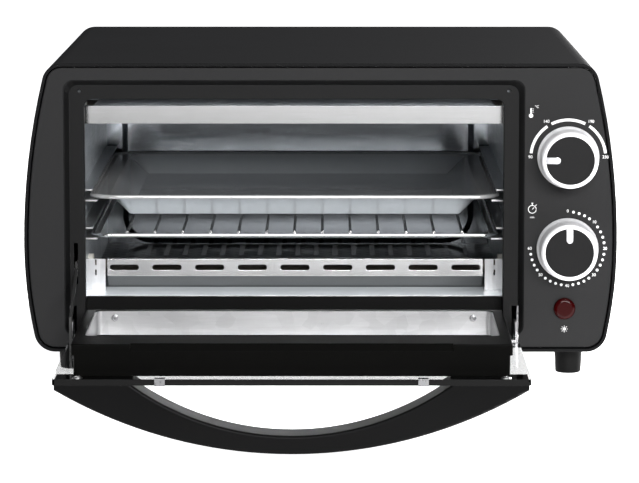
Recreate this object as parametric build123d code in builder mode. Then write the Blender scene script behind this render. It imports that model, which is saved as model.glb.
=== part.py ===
"""A countertop toaster oven with a drop-down glass door, two control knobs, a wire rack and a baking pan.

The frame: X to the right, Y into the oven, Z up. The origin lies on the plane that the feet stand on, at the
middle of the body's width and depth. The door is drawn open, hanging level in front of the oven.
"""

from build123d import *
import os

os.makedirs("parts", exist_ok=True)

# ---- the body ----
BODY_WIDTH = 365.0
BODY_DEPTH = 318.0
BODY_HEIGHT = 178.4
FOOT_HEIGHT = 16.0
WAIST_HEIGHT = 67.0  # height over the underside at which the sides are widest
TOP_TUCK = 14.6  # how far the sides draw in from the waist to the top
BOTTOM_TUCK = 8.3
TOP_CORNER = 12.0
BOTTOM_CORNER = 13.0
SHELL_WALL = 1.0
HEM_WIDTH = 2.0  # the rolled front edge of the shell
HEM_LENGTH = 6.0
RIM_PROUD = 1.5  # how far the hem stands in front of the front panel

# ---- the oven chamber ----
LEFT_BAY = 33.6  # from the body's widest left side to the chamber's left wall
CONTROL_BAY = 66.2  # from the chamber's right wall to the body's widest right side
REAR_GAP = 30.0  # between the chamber's back wall and the back of the body
CAVITY_FLOOR = 29.0  # over the body's underside
SHEET = 0.8
OPENING_LIP = 3.6  # how far the front opening's edge stands inside each chamber wall
OPENING_BOTTOM_HEIGHT = 16.0  # over the body's underside
OPENING_TOP_DROP = 22.4  # under the body's top
CAVITY_TOP_GAP = 4.0  # from the opening's top edge to the chamber's roof
OPENING_CORNER = 5.0

# ---- the door and its seat in the front panel ----
PANEL_THICKNESS = 2.0
PANEL_GAP = 0.6
SEAT_SIDE = 12.75  # from the opening's edge to the seat's outer edge
SEAT_TOP_MARGIN = 12.3
SEAT_BEVEL = 3.6
SEAT_CORNER = 6.0
SEAT_CLEARANCE = 1.5  # between the closed glass and the seat's floor
SEAT_FLOOR = 1.6
SEAT_WALL = 2.0
GLASS_THICKNESS = 3.5
GLASS_SIDE_GAP = 3.5
GLASS_TOP_GAP = 4.2
GLASS_CORNER = 1.5
HINGE_DEPTH = 4.0  # hinge axis, behind the front face
HINGE_HEIGHT = 8.9  # hinge axis, over the body's underside
HINGE_CLEARANCE = 0.5  # between the open glass and the front face
THROAT_DEPTH = 12.0
FRAME_DEPTH = 18.6
FRAME_GAP = 1.0
FRAME_LIP = 1.5
FRAME_LIP_DEPTH = 6.5
FRAME_BOTTOM_GAP = 2.9
FRAME_TOP_GAP = 3.4
FRAME_WALL = 1.2
FRAME_END_WALL = 7.0
REBATE = 4.0
END_BLOCK = 33.0
WINDOW_SIDE = 4.5
WINDOW_BOTTOM = 3.2
WINDOW_TOP = 31.7
WINDOW_CORNER = 4.0
WINDOW_LINER_DEPTH = 15.0
DOOR_CLEARANCE = 1.9  # between the closed door's frame and whatever is inside the chamber

# ---- handle ----
HANDLE_REACH = 40.5
HANDLE_HOLLOW = 29.6  # depth of the finger gap at the middle
HANDLE_WIDTH = 24.0
HANDLE_TIP = 3.0
HANDLE_END_GAP = 1.25
HANDLE_ROOT = 45.0
HANDLE_ROUND = 1.6
HANDLE_SCREW_INSET = 13.2
TRIM_THICKNESS = 0.8
CLIP_OFFSET = 76.0
CLIP_WIDTH = 6.0
CLIP_SHEET = 0.4

# ---- hinge hardware ----
EAR_OFFSET = 7.65  # from the opening's edge to the ear's middle
EAR_THICKNESS = 1.5
EAR_REACH = 11.5
EAR_LENGTH = 13.0
KNUCKLE_RADIUS = 3.4
PIN_RADIUS = 1.5
PIN_CLEARANCE = 0.05
BRACKET_GAP = 0.4
CHECK_WIDTH = 3.6
CHECK_THICKNESS = 1.6
CHECK_NEAR = (49.0, 17.8)  # the check arm's two ends with the door open: in front of and over the hinge axis
CHECK_FAR = (-1.0, 38.8)
CHECK_TAIL = 5.0
CHECK_FOOT = 6.0
CHECK_GAP = 0.5  # between the check arm and the chamber wall's outside

# ---- guards, heaters and guides ----
UPPER_GUARD_DROP = 6.0  # its bright face starts this far under the opening's top edge
UPPER_GUARD_HEIGHT = 11.0
LOWER_GUARD_DEPTH = 65.0
LOWER_GUARD_BASE = 9.0  # over the chamber's floor
LOWER_GUARD_HEIGHT = 10.8
GUARD_SLOTS = 9
GUARD_SLOT_LENGTH = 18.5
GUARD_SLOT_HEIGHT = 3.6
GUARD_SLOT_PITCH = 27.1
HEATER_RADIUS = 4.5
LOWER_HEATER_DEPTH = 92.0
LOWER_HEATER_RISE = 12.0  # over the chamber's floor
UPPER_HEATER_DEPTH = 46.0
UPPER_HEATER_DROP = 12.5  # under the chamber's roof
INSULATOR_RADIUS = 7.5
INSULATOR_INSIDE = 3.0
INSULATOR_OUTSIDE = 7.0
LEDGE_WIDTH = 10.0
LIP_WIDTH = 7.0
LEDGE_THICKNESS = 1.0
LIP_GAP = 5.6  # between a ledge and the lip over it
SLIDE_CLEARANCE = 0.3

# ---- rack and pan ----
RACK_HEIGHT = 69.0  # middle of the rail, over the body's underside
RAIL_RADIUS = 1.2
WIRE_RADIUS = 0.9
WIRES = 13
WIRE_PITCH = 17.4
RACK_SIDE_GAP = 5.3
RACK_CORNER = 10.0
REST_GAP = 3.0  # between rack or pan and the chamber's back
PAN_RIM_HEIGHT = 93.0  # middle of the rolled rim, over the body's underside
BEAD_RADIUS = 1.3
PAN_SIDE_GAP = 4.1
PAN_FLANGE = 11.0
PAN_DROP = 12.7
PAN_SHEET = 0.8
PAN_TAPER = 45.0
PAN_CORNER = 16.0

# ---- controls ----
KNOB_INSET = 30.5  # knob axes, from the body's widest right side
THERMOSTAT_HEIGHT = 120.9  # over the body's underside
TIMER_HEIGHT = 64.3
LAMP_HEIGHT = 27.0
LAMP_SHIFT = 1.5
KNOB_BASE_RADIUS = 19.0
KNOB_FRONT_RADIUS = 17.2
KNOB_FACE_RADIUS = 14.8
KNOB_LENGTH = 20.5
KNOB_GAP = 0.9
KNOB_WALL = 2.0
FACE_RECESS = 1.6
FACE_THICKNESS = 1.2
POINTER_WIDTH = 4.0
POINTER_LENGTH = 9.0
POINTER_THICKNESS = 1.0
SHAFT_RADIUS = 3.0
SHAFT_CLEARANCE = 0.05
BOSS_RADIUS = 5.5
LENS_RADIUS = 6.7
LENS_STEM_RADIUS = 5.6
THERMOSTAT_SIZE = 34.0
THERMOSTAT_DEPTH = 24.0
TIMER_WIDTH = 42.0
TIMER_TALL = 46.0
TIMER_DEPTH = 34.0

# ---- worked out from the values above ----
FRONT = -BODY_DEPTH / 2
BACK = BODY_DEPTH / 2
HALF = BODY_WIDTH / 2
BASE = FOOT_HEIGHT
TOP = BASE + BODY_HEIGHT

CAVITY_LEFT = -HALF + LEFT_BAY
CAVITY_RIGHT = HALF - CONTROL_BAY
CAVITY_WIDTH = CAVITY_RIGHT - CAVITY_LEFT
CHAMBER_X = (CAVITY_LEFT + CAVITY_RIGHT) / 2
CAVITY_DEPTH = BODY_DEPTH - REAR_GAP
FLOOR_Z = BASE + CAVITY_FLOOR
OPENING_WIDTH = CAVITY_WIDTH - 2 * OPENING_LIP
OPENING_BOTTOM = BASE + OPENING_BOTTOM_HEIGHT
OPENING_TOP = TOP - OPENING_TOP_DROP
ROOF_Z = OPENING_TOP + CAVITY_TOP_GAP

HINGE_Z = BASE + HINGE_HEIGHT
SEAT_DEPTH = GLASS_THICKNESS + SEAT_CLEARANCE
SEAT_WIDTH = OPENING_WIDTH + 2 * SEAT_SIDE
SEAT_TOP = OPENING_TOP + SEAT_TOP_MARGIN
SEAT_BOTTOM = HINGE_Z + 1.0
GLASS_WIDTH = SEAT_WIDTH - 2 * GLASS_SIDE_GAP
GLASS_TOP = SEAT_TOP - GLASS_TOP_GAP  # heights of the closed door's edges
GLASS_BOTTOM = HINGE_Z + HINGE_DEPTH + HINGE_CLEARANCE
FRAME_WIDTH = OPENING_WIDTH - 2 * (FRAME_GAP + FRAME_LIP)
FRAME_BOTTOM = OPENING_BOTTOM + FRAME_BOTTOM_GAP
FRAME_TOP = OPENING_TOP - FRAME_TOP_GAP
FRAME_BACK = GLASS_THICKNESS + FRAME_DEPTH
INNER_FRONT = FRAME_BACK + DOOR_CLEARANCE  # nothing in the chamber comes further forward

KNOB_X = HALF - KNOB_INSET
THERMOSTAT_Z = BASE + THERMOSTAT_HEIGHT
TIMER_Z = BASE + TIMER_HEIGHT
LAMP_X = KNOB_X - LAMP_SHIFT
LAMP_Z = BASE + LAMP_HEIGHT
EAR_X = OPENING_WIDTH / 2 + EAR_OFFSET  # from the chamber's middle
CHECK_X = CAVITY_WIDTH / 2 + SHEET + CHECK_GAP + CHECK_THICKNESS / 2
RACK_Z = BASE + RACK_HEIGHT
PAN_Z = BASE + PAN_RIM_HEIGHT


def upright(depth):
    """The plane across the oven, this far behind the front face. A negative extrusion goes back."""
    return Plane.XZ.offset(-(FRONT + depth))


def side_on(x):
    """The plane of Y and Z at this x. A positive extrusion goes right."""
    return Plane.YZ.offset(x)


def level(z):
    return Plane.XY.offset(z)


def open_y(closed_height):
    """Where a point of the closed door at this height lies along Y once the door is open."""
    return FRONT - (closed_height - HINGE_Z - HINGE_DEPTH)


def open_z(closed_depth):
    """How high a point of the closed door, this deep behind the front face, lies once it is open."""
    return HINGE_Z - HINGE_DEPTH + closed_depth


def body_outline(inset):
    """The body seen from the front, drawn in by inset all round."""
    with BuildSketch() as outline:
        with BuildLine():
            waist = BASE + WAIST_HEIGHT
            Line((-HALF + TOP_TUCK, TOP), (HALF - TOP_TUCK, TOP))
            Line((-HALF + BOTTOM_TUCK, BASE), (HALF - BOTTOM_TUCK, BASE))
            for side in (-1, 1):
                TangentArc((side * HALF, waist), (side * (HALF - TOP_TUCK), TOP), tangent=(0, 1))
                TangentArc((side * HALF, waist), (side * (HALF - BOTTOM_TUCK), BASE), tangent=(0, -1))
        make_face()
        fillet(outline.vertices().group_by(Axis.Y)[-1], TOP_CORNER)
        fillet(outline.vertices().group_by(Axis.Y)[0], BOTTOM_CORNER)
        if inset:
            offset(amount=-inset)
    return outline.sketch


def rounded_box(x, y, corner):
    """A rounded rectangle between two values each way, drawn in a sketch of its own."""
    with BuildSketch() as plate:
        with Locations(((x[0] + x[1]) / 2, (y[0] + y[1]) / 2)):
            RectangleRounded(x[1] - x[0], y[1] - y[0], corner)
    return plate.sketch


def write(piece, label):
    piece.part.label = label
    export_step(piece.part, f"parts/{label}.step")


# ---- casing ----
FLANGE_INSIDE = 38.0  # width of the shell's folded bottom edge
BASE_PLATE_LAP = 8.0
FOOT_X = HALF - 28.0
FOOT_INSET = 22.0  # from the front and back faces to a foot's middle
FOOT_Y = BODY_DEPTH / 2 - FOOT_INSET
SCREW_RADIUS = 1.6
HEAD_RADIUS = 3.4
HEAD_HEIGHT = 1.8
HOLE_CLEARANCE = 0.2
UNDERSIDE_CUT = BODY_WIDTH - 2 * (BOTTOM_TUCK + FLANGE_INSIDE)
VENT_LENGTH = 30.0
VENT_HEIGHT = 3.2
VENT_PITCH = 8.0

with BuildPart() as outer_shell:
    with BuildSketch(upright(-RIM_PROUD)):
        add(body_outline(0))
        add(body_outline(SHELL_WALL), mode=Mode.SUBTRACT)
    extrude(amount=-(BODY_DEPTH + RIM_PROUD))
    with BuildSketch(upright(-RIM_PROUD)):
        add(body_outline(0))
        add(body_outline(HEM_WIDTH), mode=Mode.SUBTRACT)
    extrude(amount=-HEM_LENGTH)
    fillet(outer_shell.edges().group_by(Axis.Y)[0], 0.6)
    with BuildSketch(level(BASE)):
        Rectangle(UNDERSIDE_CUT, BODY_DEPTH - 2 * FLANGE_INSIDE)
    extrude(amount=SHELL_WALL, mode=Mode.SUBTRACT)
    with BuildSketch(level(BASE)):
        with GridLocations(2 * FOOT_X, 2 * FOOT_Y, 2, 2):
            Circle(SCREW_RADIUS + HOLE_CLEARANCE)
    extrude(amount=SHELL_WALL, mode=Mode.SUBTRACT)
    with BuildSketch(side_on(HALF - TOP_TUCK)):
        with Locations((BACK - 45, TOP - 62)):
            with GridLocations(0, VENT_PITCH, 1, 6):
                SlotOverall(VENT_LENGTH, VENT_HEIGHT)
    extrude(amount=TOP_TUCK + 1, mode=Mode.SUBTRACT)
write(outer_shell, "outer_shell")

with BuildPart() as base_plate:
    with BuildSketch(level(BASE + SHELL_WALL)):
        Rectangle(UNDERSIDE_CUT + 2 * BASE_PLATE_LAP, BODY_DEPTH - 2 * FLANGE_INSIDE + 2 * BASE_PLATE_LAP)
        with GridLocations(VENT_LENGTH + 12, VENT_PITCH + 4, 4, 6):
            SlotOverall(VENT_LENGTH, VENT_HEIGHT, mode=Mode.SUBTRACT)
    extrude(amount=SHELL_WALL)
write(base_plate, "base_plate")

with BuildPart() as feet:
    with GridLocations(2 * FOOT_X, 2 * FOOT_Y, 2, 2):
        Cone(7.85, 8.7, FOOT_HEIGHT, align=(Align.CENTER, Align.CENTER, Align.MIN))
    fillet(feet.edges().group_by(Axis.Z)[0], 1.2)
    with BuildSketch(level(0)):
        with GridLocations(2 * FOOT_X, 2 * FOOT_Y, 2, 2):
            Circle(HEAD_RADIUS + 1)
    extrude(amount=FOOT_HEIGHT - 6, mode=Mode.SUBTRACT)
    with BuildSketch(level(0)):
        with GridLocations(2 * FOOT_X, 2 * FOOT_Y, 2, 2):
            Circle(SCREW_RADIUS + HOLE_CLEARANCE)
    extrude(amount=FOOT_HEIGHT, mode=Mode.SUBTRACT)
write(feet, "feet")

with BuildPart() as foot_screws:
    with BuildSketch(level(FOOT_HEIGHT - 6)):
        with GridLocations(2 * FOOT_X, 2 * FOOT_Y, 2, 2):
            Circle(HEAD_RADIUS)
    extrude(amount=-HEAD_HEIGHT)
    fillet(foot_screws.edges().group_by(Axis.Z)[0], 0.8)
    with BuildSketch(level(FOOT_HEIGHT - 6)):
        with GridLocations(2 * FOOT_X, 2 * FOOT_Y, 2, 2):
            Circle(SCREW_RADIUS)
    extrude(amount=10)
write(foot_screws, "foot_screws")

REAR_PANEL_INSET = SHELL_WALL + 0.3
REAR_PANEL_DEPTH = BODY_DEPTH - 4.0
REAR_SCREW_X = HALF - 22.0
REAR_SCREW_LOW = BASE + 12.0
REAR_SCREW_HIGH = TOP - 12.0
REAR_SCREWS = [
    (x, z)
    for x in (-REAR_SCREW_X, 0, REAR_SCREW_X)
    for z in (REAR_SCREW_LOW, REAR_SCREW_HIGH)
]
GLAND_X = KNOB_X - 4.0
GLAND_Z = BASE + 26.0
GLAND_RADIUS = 7.0
GLAND_FLANGE = 11.0
CORD_RADIUS = 3.6

with BuildPart() as rear_panel:
    with BuildSketch(upright(REAR_PANEL_DEPTH)):
        add(body_outline(REAR_PANEL_INSET))
        with Locations(*REAR_SCREWS):
            Circle(SCREW_RADIUS + HOLE_CLEARANCE, mode=Mode.SUBTRACT)
        with Locations((GLAND_X, GLAND_Z)):
            Circle(GLAND_RADIUS, mode=Mode.SUBTRACT)
        with Locations((KNOB_X, TOP - 50)):
            with GridLocations(0, VENT_PITCH, 1, 5):
                SlotOverall(VENT_LENGTH, VENT_HEIGHT, mode=Mode.SUBTRACT)
        with Locations((CHAMBER_X, BASE + BODY_HEIGHT / 2)):
            with GridLocations(VENT_LENGTH + 12, VENT_PITCH, 5, 4):
                SlotOverall(VENT_LENGTH, VENT_HEIGHT, mode=Mode.SUBTRACT)
    extrude(amount=-SHELL_WALL)
write(rear_panel, "rear_panel")

with BuildPart() as rear_screws:
    with BuildSketch(upright(REAR_PANEL_DEPTH + SHELL_WALL)):
        with Locations(*REAR_SCREWS):
            Circle(HEAD_RADIUS)
    extrude(amount=-HEAD_HEIGHT)
    fillet(rear_screws.edges().group_by(Axis.Y)[-1], 0.8)
    with BuildSketch(upright(REAR_PANEL_DEPTH + SHELL_WALL)):
        with Locations(*REAR_SCREWS):
            Circle(SCREW_RADIUS)
    extrude(amount=8)
write(rear_screws, "rear_screws")

with BuildPart() as cord_gland:
    with BuildSketch(upright(REAR_PANEL_DEPTH + SHELL_WALL)):
        with Locations((GLAND_X, GLAND_Z)):
            Circle(GLAND_FLANGE)
            Circle(CORD_RADIUS, mode=Mode.SUBTRACT)
    extrude(amount=-2.5)
    with BuildSketch(upright(REAR_PANEL_DEPTH + SHELL_WALL)):
        with Locations((GLAND_X, GLAND_Z)):
            Circle(GLAND_RADIUS)
            Circle(CORD_RADIUS, mode=Mode.SUBTRACT)
    extrude(amount=6)
write(cord_gland, "cord_gland")

# ---- front panel, with the sunk seat that the closed door lies in ----
SLOT_BOTTOM = HINGE_Z - KNUCKLE_RADIUS - 1.2
EAR_SLOT_TOP = HINGE_Z + 19.0
EAR_SLOT_WIDTH = EAR_THICKNESS + 2 * 1.4
CHECK_SLOT_BOTTOM = HINGE_Z + 32.5
CHECK_SLOT_TOP = HINGE_Z + CHECK_NEAR[0] + CHECK_FOOT + 3.0
CHECK_SLOT_WIDTH = CHECK_THICKNESS + 2 * 0.5
SEAT_X = (CHAMBER_X - SEAT_WIDTH / 2, CHAMBER_X + SEAT_WIDTH / 2)
SEAT_Z = (SEAT_BOTTOM, SEAT_TOP)
OPENING_X = (CHAMBER_X - OPENING_WIDTH / 2, CHAMBER_X + OPENING_WIDTH / 2)
OPENING_Z = (OPENING_BOTTOM, OPENING_TOP)
THROAT_WALL = 1.2
BUMPER_X = OPENING_WIDTH / 2 + 3.0
BUMPER_Z = OPENING_TOP + 5.0
BUMPER_RADIUS = 1.0

with BuildPart() as front_panel:
    with BuildSketch(upright(0)):
        add(body_outline(HEM_WIDTH + PANEL_GAP))
    extrude(amount=-PANEL_THICKNESS)
    fillet(front_panel.edges().group_by(Axis.Y)[0], 0.7)
    with BuildSketch(upright(0)):
        add(
            rounded_box(
                (SEAT_X[0] - SEAT_WALL, SEAT_X[1] + SEAT_WALL),
                (SEAT_Z[0] - SEAT_WALL, SEAT_Z[1] + SEAT_WALL),
                SEAT_CORNER + SEAT_WALL,
            )
        )
    extrude(amount=-(SEAT_DEPTH + SEAT_FLOOR))
    with BuildSketch(upright(0)):
        add(rounded_box(SEAT_X, SEAT_Z, SEAT_CORNER))
    with BuildSketch(upright(SEAT_DEPTH)):
        add(
            rounded_box(
                (SEAT_X[0] + SEAT_BEVEL, SEAT_X[1] - SEAT_BEVEL),
                (SEAT_Z[0], SEAT_Z[1] - SEAT_BEVEL),
                SEAT_CORNER,
            )
        )
    loft(mode=Mode.SUBTRACT)
    with BuildSketch(upright(SEAT_DEPTH)):
        add(
            rounded_box(
                (OPENING_X[0] - THROAT_WALL, OPENING_X[1] + THROAT_WALL),
                (OPENING_Z[0] - THROAT_WALL, OPENING_Z[1] + THROAT_WALL),
                OPENING_CORNER + THROAT_WALL,
            )
        )
    extrude(amount=-(THROAT_DEPTH - SEAT_DEPTH))
    with BuildSketch(upright(0)):
        add(rounded_box(OPENING_X, OPENING_Z, OPENING_CORNER))
    extrude(amount=-(THROAT_DEPTH + 1), mode=Mode.SUBTRACT)
    fillet(
        front_panel.edges().filter_by_position(Axis.Y, FRONT + SEAT_DEPTH - 0.01, FRONT + SEAT_DEPTH + 0.01)
        .filter_by(lambda e: OPENING_X[0] - 0.1 < e.center().X < OPENING_X[1] + 0.1)
        .filter_by(lambda e: OPENING_Z[0] - 0.1 < e.center().Z < OPENING_Z[1] + 0.1),
        0.5,
    )
    with BuildSketch(upright(0)):
        for side in (-1, 1):
            with Locations((CHAMBER_X + side * EAR_X, (SLOT_BOTTOM + EAR_SLOT_TOP) / 2)):
                Rectangle(EAR_SLOT_WIDTH, EAR_SLOT_TOP - SLOT_BOTTOM)
        with Locations((CHAMBER_X - CHECK_X, (CHECK_SLOT_BOTTOM + CHECK_SLOT_TOP) / 2)):
            Rectangle(CHECK_SLOT_WIDTH, CHECK_SLOT_TOP - CHECK_SLOT_BOTTOM)
        with Locations((KNOB_X, THERMOSTAT_Z), (KNOB_X, TIMER_Z)):
            Circle(BOSS_RADIUS + HOLE_CLEARANCE)
        with Locations((LAMP_X, LAMP_Z)):
            Circle(LENS_STEM_RADIUS)
        with Locations((CHAMBER_X - BUMPER_X, BUMPER_Z), (CHAMBER_X + BUMPER_X, BUMPER_Z)):
            Circle(BUMPER_RADIUS)
    extrude(amount=-(SEAT_DEPTH + SEAT_FLOOR + 1), mode=Mode.SUBTRACT)
write(front_panel, "front_panel")

# ---- chamber walls, one flat sheet each ----
WALL_START = THROAT_DEPTH
WALL_Z = (FLOOR_Z - CAVITY_FLOOR + SHELL_WALL * 3, ROOF_Z + SHEET)
FLOOR_HOLE = 3.2
FLOOR_HOLE_PITCH = (12.8, 11.0)
FLOOR_HOLES = (19, 5)
LOWER_HEATER_Z = FLOOR_Z + LOWER_HEATER_RISE
UPPER_HEATER_Z = ROOF_Z - UPPER_HEATER_DROP
HEATERS = [
    (FRONT + LOWER_HEATER_DEPTH, LOWER_HEATER_Z),
    (FRONT + UPPER_HEATER_DEPTH, UPPER_HEATER_Z),
]


def side_wall(x):
    """A chamber side, drawn from x to the right, with a hole for the end of each heater."""
    with BuildPart() as wall:
        with BuildSketch(side_on(x)):
            with Locations((FRONT + (WALL_START + CAVITY_DEPTH + SHEET) / 2, (WALL_Z[0] + WALL_Z[1]) / 2)):
                Rectangle(CAVITY_DEPTH + SHEET - WALL_START, WALL_Z[1] - WALL_Z[0])
            with Locations(*HEATERS):
                Circle(INSULATOR_RADIUS + 0.1, mode=Mode.SUBTRACT)
        extrude(amount=SHEET)
    return wall


liner_left = side_wall(CAVITY_LEFT - SHEET)
write(liner_left, "liner_left")
liner_right = side_wall(CAVITY_RIGHT)
write(liner_right, "liner_right")

with BuildPart() as liner_roof:
    with BuildSketch(level(ROOF_Z)):
        with Locations((CHAMBER_X, FRONT + (WALL_START + CAVITY_DEPTH) / 2)):
            Rectangle(CAVITY_WIDTH, CAVITY_DEPTH - WALL_START)
    extrude(amount=SHEET)
write(liner_roof, "liner_roof")

with BuildPart() as liner_floor:
    with BuildSketch(level(FLOOR_Z)):
        with Locations((CHAMBER_X, FRONT + (INNER_FRONT + 2 + CAVITY_DEPTH) / 2)):
            Rectangle(CAVITY_WIDTH, CAVITY_DEPTH - INNER_FRONT - 2)
        with Locations((CHAMBER_X, FRONT + CAVITY_DEPTH - 8 - FLOOR_HOLE_PITCH[1] * FLOOR_HOLES[1] / 2)):
            with GridLocations(*FLOOR_HOLE_PITCH, *FLOOR_HOLES):
                Rectangle(FLOOR_HOLE, FLOOR_HOLE, mode=Mode.SUBTRACT)
            with Locations((FLOOR_HOLE_PITCH[0] / 2, FLOOR_HOLE_PITCH[1] / 2)):
                with GridLocations(*FLOOR_HOLE_PITCH, FLOOR_HOLES[0] - 1, FLOOR_HOLES[1]):
                    Rectangle(FLOOR_HOLE, FLOOR_HOLE, mode=Mode.SUBTRACT)
    extrude(amount=-SHEET)
write(liner_floor, "liner_floor")

EMBOSS_HALF = CAVITY_WIDTH / 2 - 10.5
EMBOSS_RAISE = 4.0
EMBOSS_CORNER = 20.0
EMBOSS_Z = (FLOOR_Z + 0.5, ROOF_Z - 6)

with BuildPart() as liner_back:
    with BuildSketch(upright(CAVITY_DEPTH)):
        with Locations((CHAMBER_X, (FLOOR_Z + ROOF_Z) / 2)):
            Rectangle(CAVITY_WIDTH, ROOF_Z - FLOOR_Z)
    extrude(amount=-SHEET)
    with BuildSketch(upright(CAVITY_DEPTH)):
        add(rounded_box((CHAMBER_X - EMBOSS_HALF, CHAMBER_X + EMBOSS_HALF), EMBOSS_Z, EMBOSS_CORNER))
    extrude(amount=EMBOSS_RAISE, taper=45)
    with BuildSketch(upright(CAVITY_DEPTH + SHEET)):
        add(rounded_box((CHAMBER_X - EMBOSS_HALF, CHAMBER_X + EMBOSS_HALF), EMBOSS_Z, EMBOSS_CORNER))
    extrude(amount=EMBOSS_RAISE, taper=45, mode=Mode.SUBTRACT)
write(liner_back, "liner_back")

SILL_CORNER = 3.6
SILL_TOP = FLOOR_Z + 2.0
SILL_THICKNESS = 2.0
with BuildPart() as sill:
    with BuildSketch(upright(INNER_FRONT)):
        add(
            rounded_box(
                (CAVITY_LEFT + 0.5, CAVITY_RIGHT - 0.5),
                (OPENING_BOTTOM - THROAT_WALL - SILL_CORNER, SILL_TOP),
                SILL_CORNER,
            )
        )
    extrude(amount=-SILL_THICKNESS)
    with BuildSketch(level(OPENING_BOTTOM - THROAT_WALL)):
        with Locations((CHAMBER_X, FRONT + (THROAT_DEPTH + INNER_FRONT) / 2)):
            Rectangle(OPENING_WIDTH, INNER_FRONT - THROAT_DEPTH)
    extrude(amount=THROAT_WALL)
write(sill, "sill")

# ---- heater guards ----
UPPER_GUARD_TOP = OPENING_TOP - UPPER_GUARD_DROP
UPPER_GUARD_BOTTOM = UPPER_GUARD_TOP - UPPER_GUARD_HEIGHT
GUARD_END_GAP = 0.5
HOOD_RUN = 11.0
HOOD_RISE = ROOF_Z - UPPER_GUARD_TOP - 0.5
HOOD_END = 8.0
LOWER_GUARD_Z = FLOOR_Z + LOWER_GUARD_BASE
LOWER_GUARD_TOP = LOWER_GUARD_Z + LOWER_GUARD_HEIGHT
LOWER_GUARD_FOOT = 14.0
LOWER_GUARD_SHELF = 8.0
LOWER_GUARD_WIDTH = (GUARD_SLOTS - 1) * GUARD_SLOT_PITCH + GUARD_SLOT_LENGTH + 3.0
BRACKET_WIDTH = (CAVITY_WIDTH - LOWER_GUARD_WIDTH) / 2 - 1.2

with BuildPart() as upper_heater_guard:
    with BuildSketch(side_on(CHAMBER_X)):
        with BuildLine():
            y = FRONT + INNER_FRONT + 1.0
            Polyline(
                (y + 8, UPPER_GUARD_BOTTOM),
                (y, UPPER_GUARD_BOTTOM),
                (y, UPPER_GUARD_TOP),
                (y + HOOD_RUN, UPPER_GUARD_TOP + HOOD_RISE),
            )
            offset(amount=SHEET, side=Side.RIGHT)
        make_face()
    extrude(amount=CAVITY_WIDTH / 2 - GUARD_END_GAP, both=True)
    with BuildSketch(upright(INNER_FRONT)):
        for side in (-1, 1):
            end = CHAMBER_X + side * (CAVITY_WIDTH / 2)
            with BuildLine():
                Polyline(
                    (end, UPPER_GUARD_TOP + 0.4),
                    (end - side * HOOD_END, UPPER_GUARD_TOP + 0.4),
                    (end - side * (HOOD_END + HOOD_RISE + 1), UPPER_GUARD_TOP + HOOD_RISE + 1.4),
                    (end, UPPER_GUARD_TOP + HOOD_RISE + 1.4),
                    close=True,
                )
            make_face()
    extrude(amount=-(HOOD_RUN + 4), mode=Mode.SUBTRACT)
write(upper_heater_guard, "upper_heater_guard")

with BuildPart() as lower_heater_guard:
    with BuildSketch(side_on(CHAMBER_X)):
        with BuildLine():
            y = FRONT + LOWER_GUARD_DEPTH
            Polyline(
                (y + LOWER_GUARD_FOOT, FLOOR_Z),
                (y, LOWER_GUARD_Z),
                (y, LOWER_GUARD_TOP),
                (y + LOWER_GUARD_SHELF, LOWER_GUARD_TOP),
            )
            offset(amount=SHEET, side=Side.RIGHT)
        make_face()
    extrude(amount=LOWER_GUARD_WIDTH / 2, both=True)
    split(bisect_by=level(FLOOR_Z), keep=Keep.TOP)
    with BuildSketch(upright(LOWER_GUARD_DEPTH - 1)):
        with Locations((CHAMBER_X, (LOWER_GUARD_Z + LOWER_GUARD_TOP) / 2)):
            with GridLocations(GUARD_SLOT_PITCH, 0, GUARD_SLOTS, 1):
                SlotOverall(GUARD_SLOT_LENGTH, GUARD_SLOT_HEIGHT)
    extrude(amount=-4, mode=Mode.SUBTRACT)
write(lower_heater_guard, "lower_heater_guard")

with BuildPart() as guard_brackets:
    with BuildSketch(upright(LOWER_GUARD_DEPTH)):
        for side in (-1, 1):
            with Locations((CHAMBER_X + side * (CAVITY_WIDTH - BRACKET_WIDTH) / 2, LOWER_GUARD_TOP)):
                Rectangle(BRACKET_WIDTH, LOWER_GUARD_TOP - FLOOR_Z, align=(Align.CENTER, Align.MAX))
                with Locations((0, -2.2), (0, -LOWER_GUARD_HEIGHT + 2.2)):
                    Rectangle(1.0, 3.6, mode=Mode.SUBTRACT)
    extrude(amount=-SHEET)
write(guard_brackets, "guard_brackets")

# ---- heaters ----
HEATER_BORE_CLEARANCE = 0.05
HEATER_END = 1.0  # how far the rod stops short of its insulator's outer end
TERMINAL_PIN_RADIUS = 1.8
TERMINAL_PIN_REACH = 7.0  # how far the terminal pin stands out of the insulator


def heater_rod(y, z):
    with BuildPart() as rod:
        with BuildSketch(side_on(CAVITY_LEFT - INSULATOR_OUTSIDE + HEATER_END)):
            with Locations((y, z)):
                Circle(HEATER_RADIUS)
        extrude(amount=CAVITY_WIDTH + 2 * (INSULATOR_OUTSIDE - HEATER_END))
        with BuildSketch(side_on(CAVITY_LEFT - INSULATOR_OUTSIDE - TERMINAL_PIN_REACH)):
            with Locations((y, z)):
                Circle(TERMINAL_PIN_RADIUS)
        extrude(amount=CAVITY_WIDTH + 2 * (INSULATOR_OUTSIDE + TERMINAL_PIN_REACH))
    return rod


lower_heater = heater_rod(*HEATERS[0])
write(lower_heater, "lower_heater")
upper_heater = heater_rod(*HEATERS[1])
write(upper_heater, "upper_heater")

with BuildPart() as heater_insulators:
    for start in (CAVITY_LEFT - INSULATOR_OUTSIDE, CAVITY_RIGHT - INSULATOR_INSIDE):
        with BuildSketch(side_on(start)):
            with Locations(*HEATERS):
                Circle(INSULATOR_RADIUS)
                Circle(HEATER_RADIUS + HEATER_BORE_CLEARANCE, mode=Mode.SUBTRACT)
        extrude(amount=INSULATOR_OUTSIDE + INSULATOR_INSIDE)
write(heater_insulators, "heater_insulators")

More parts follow.
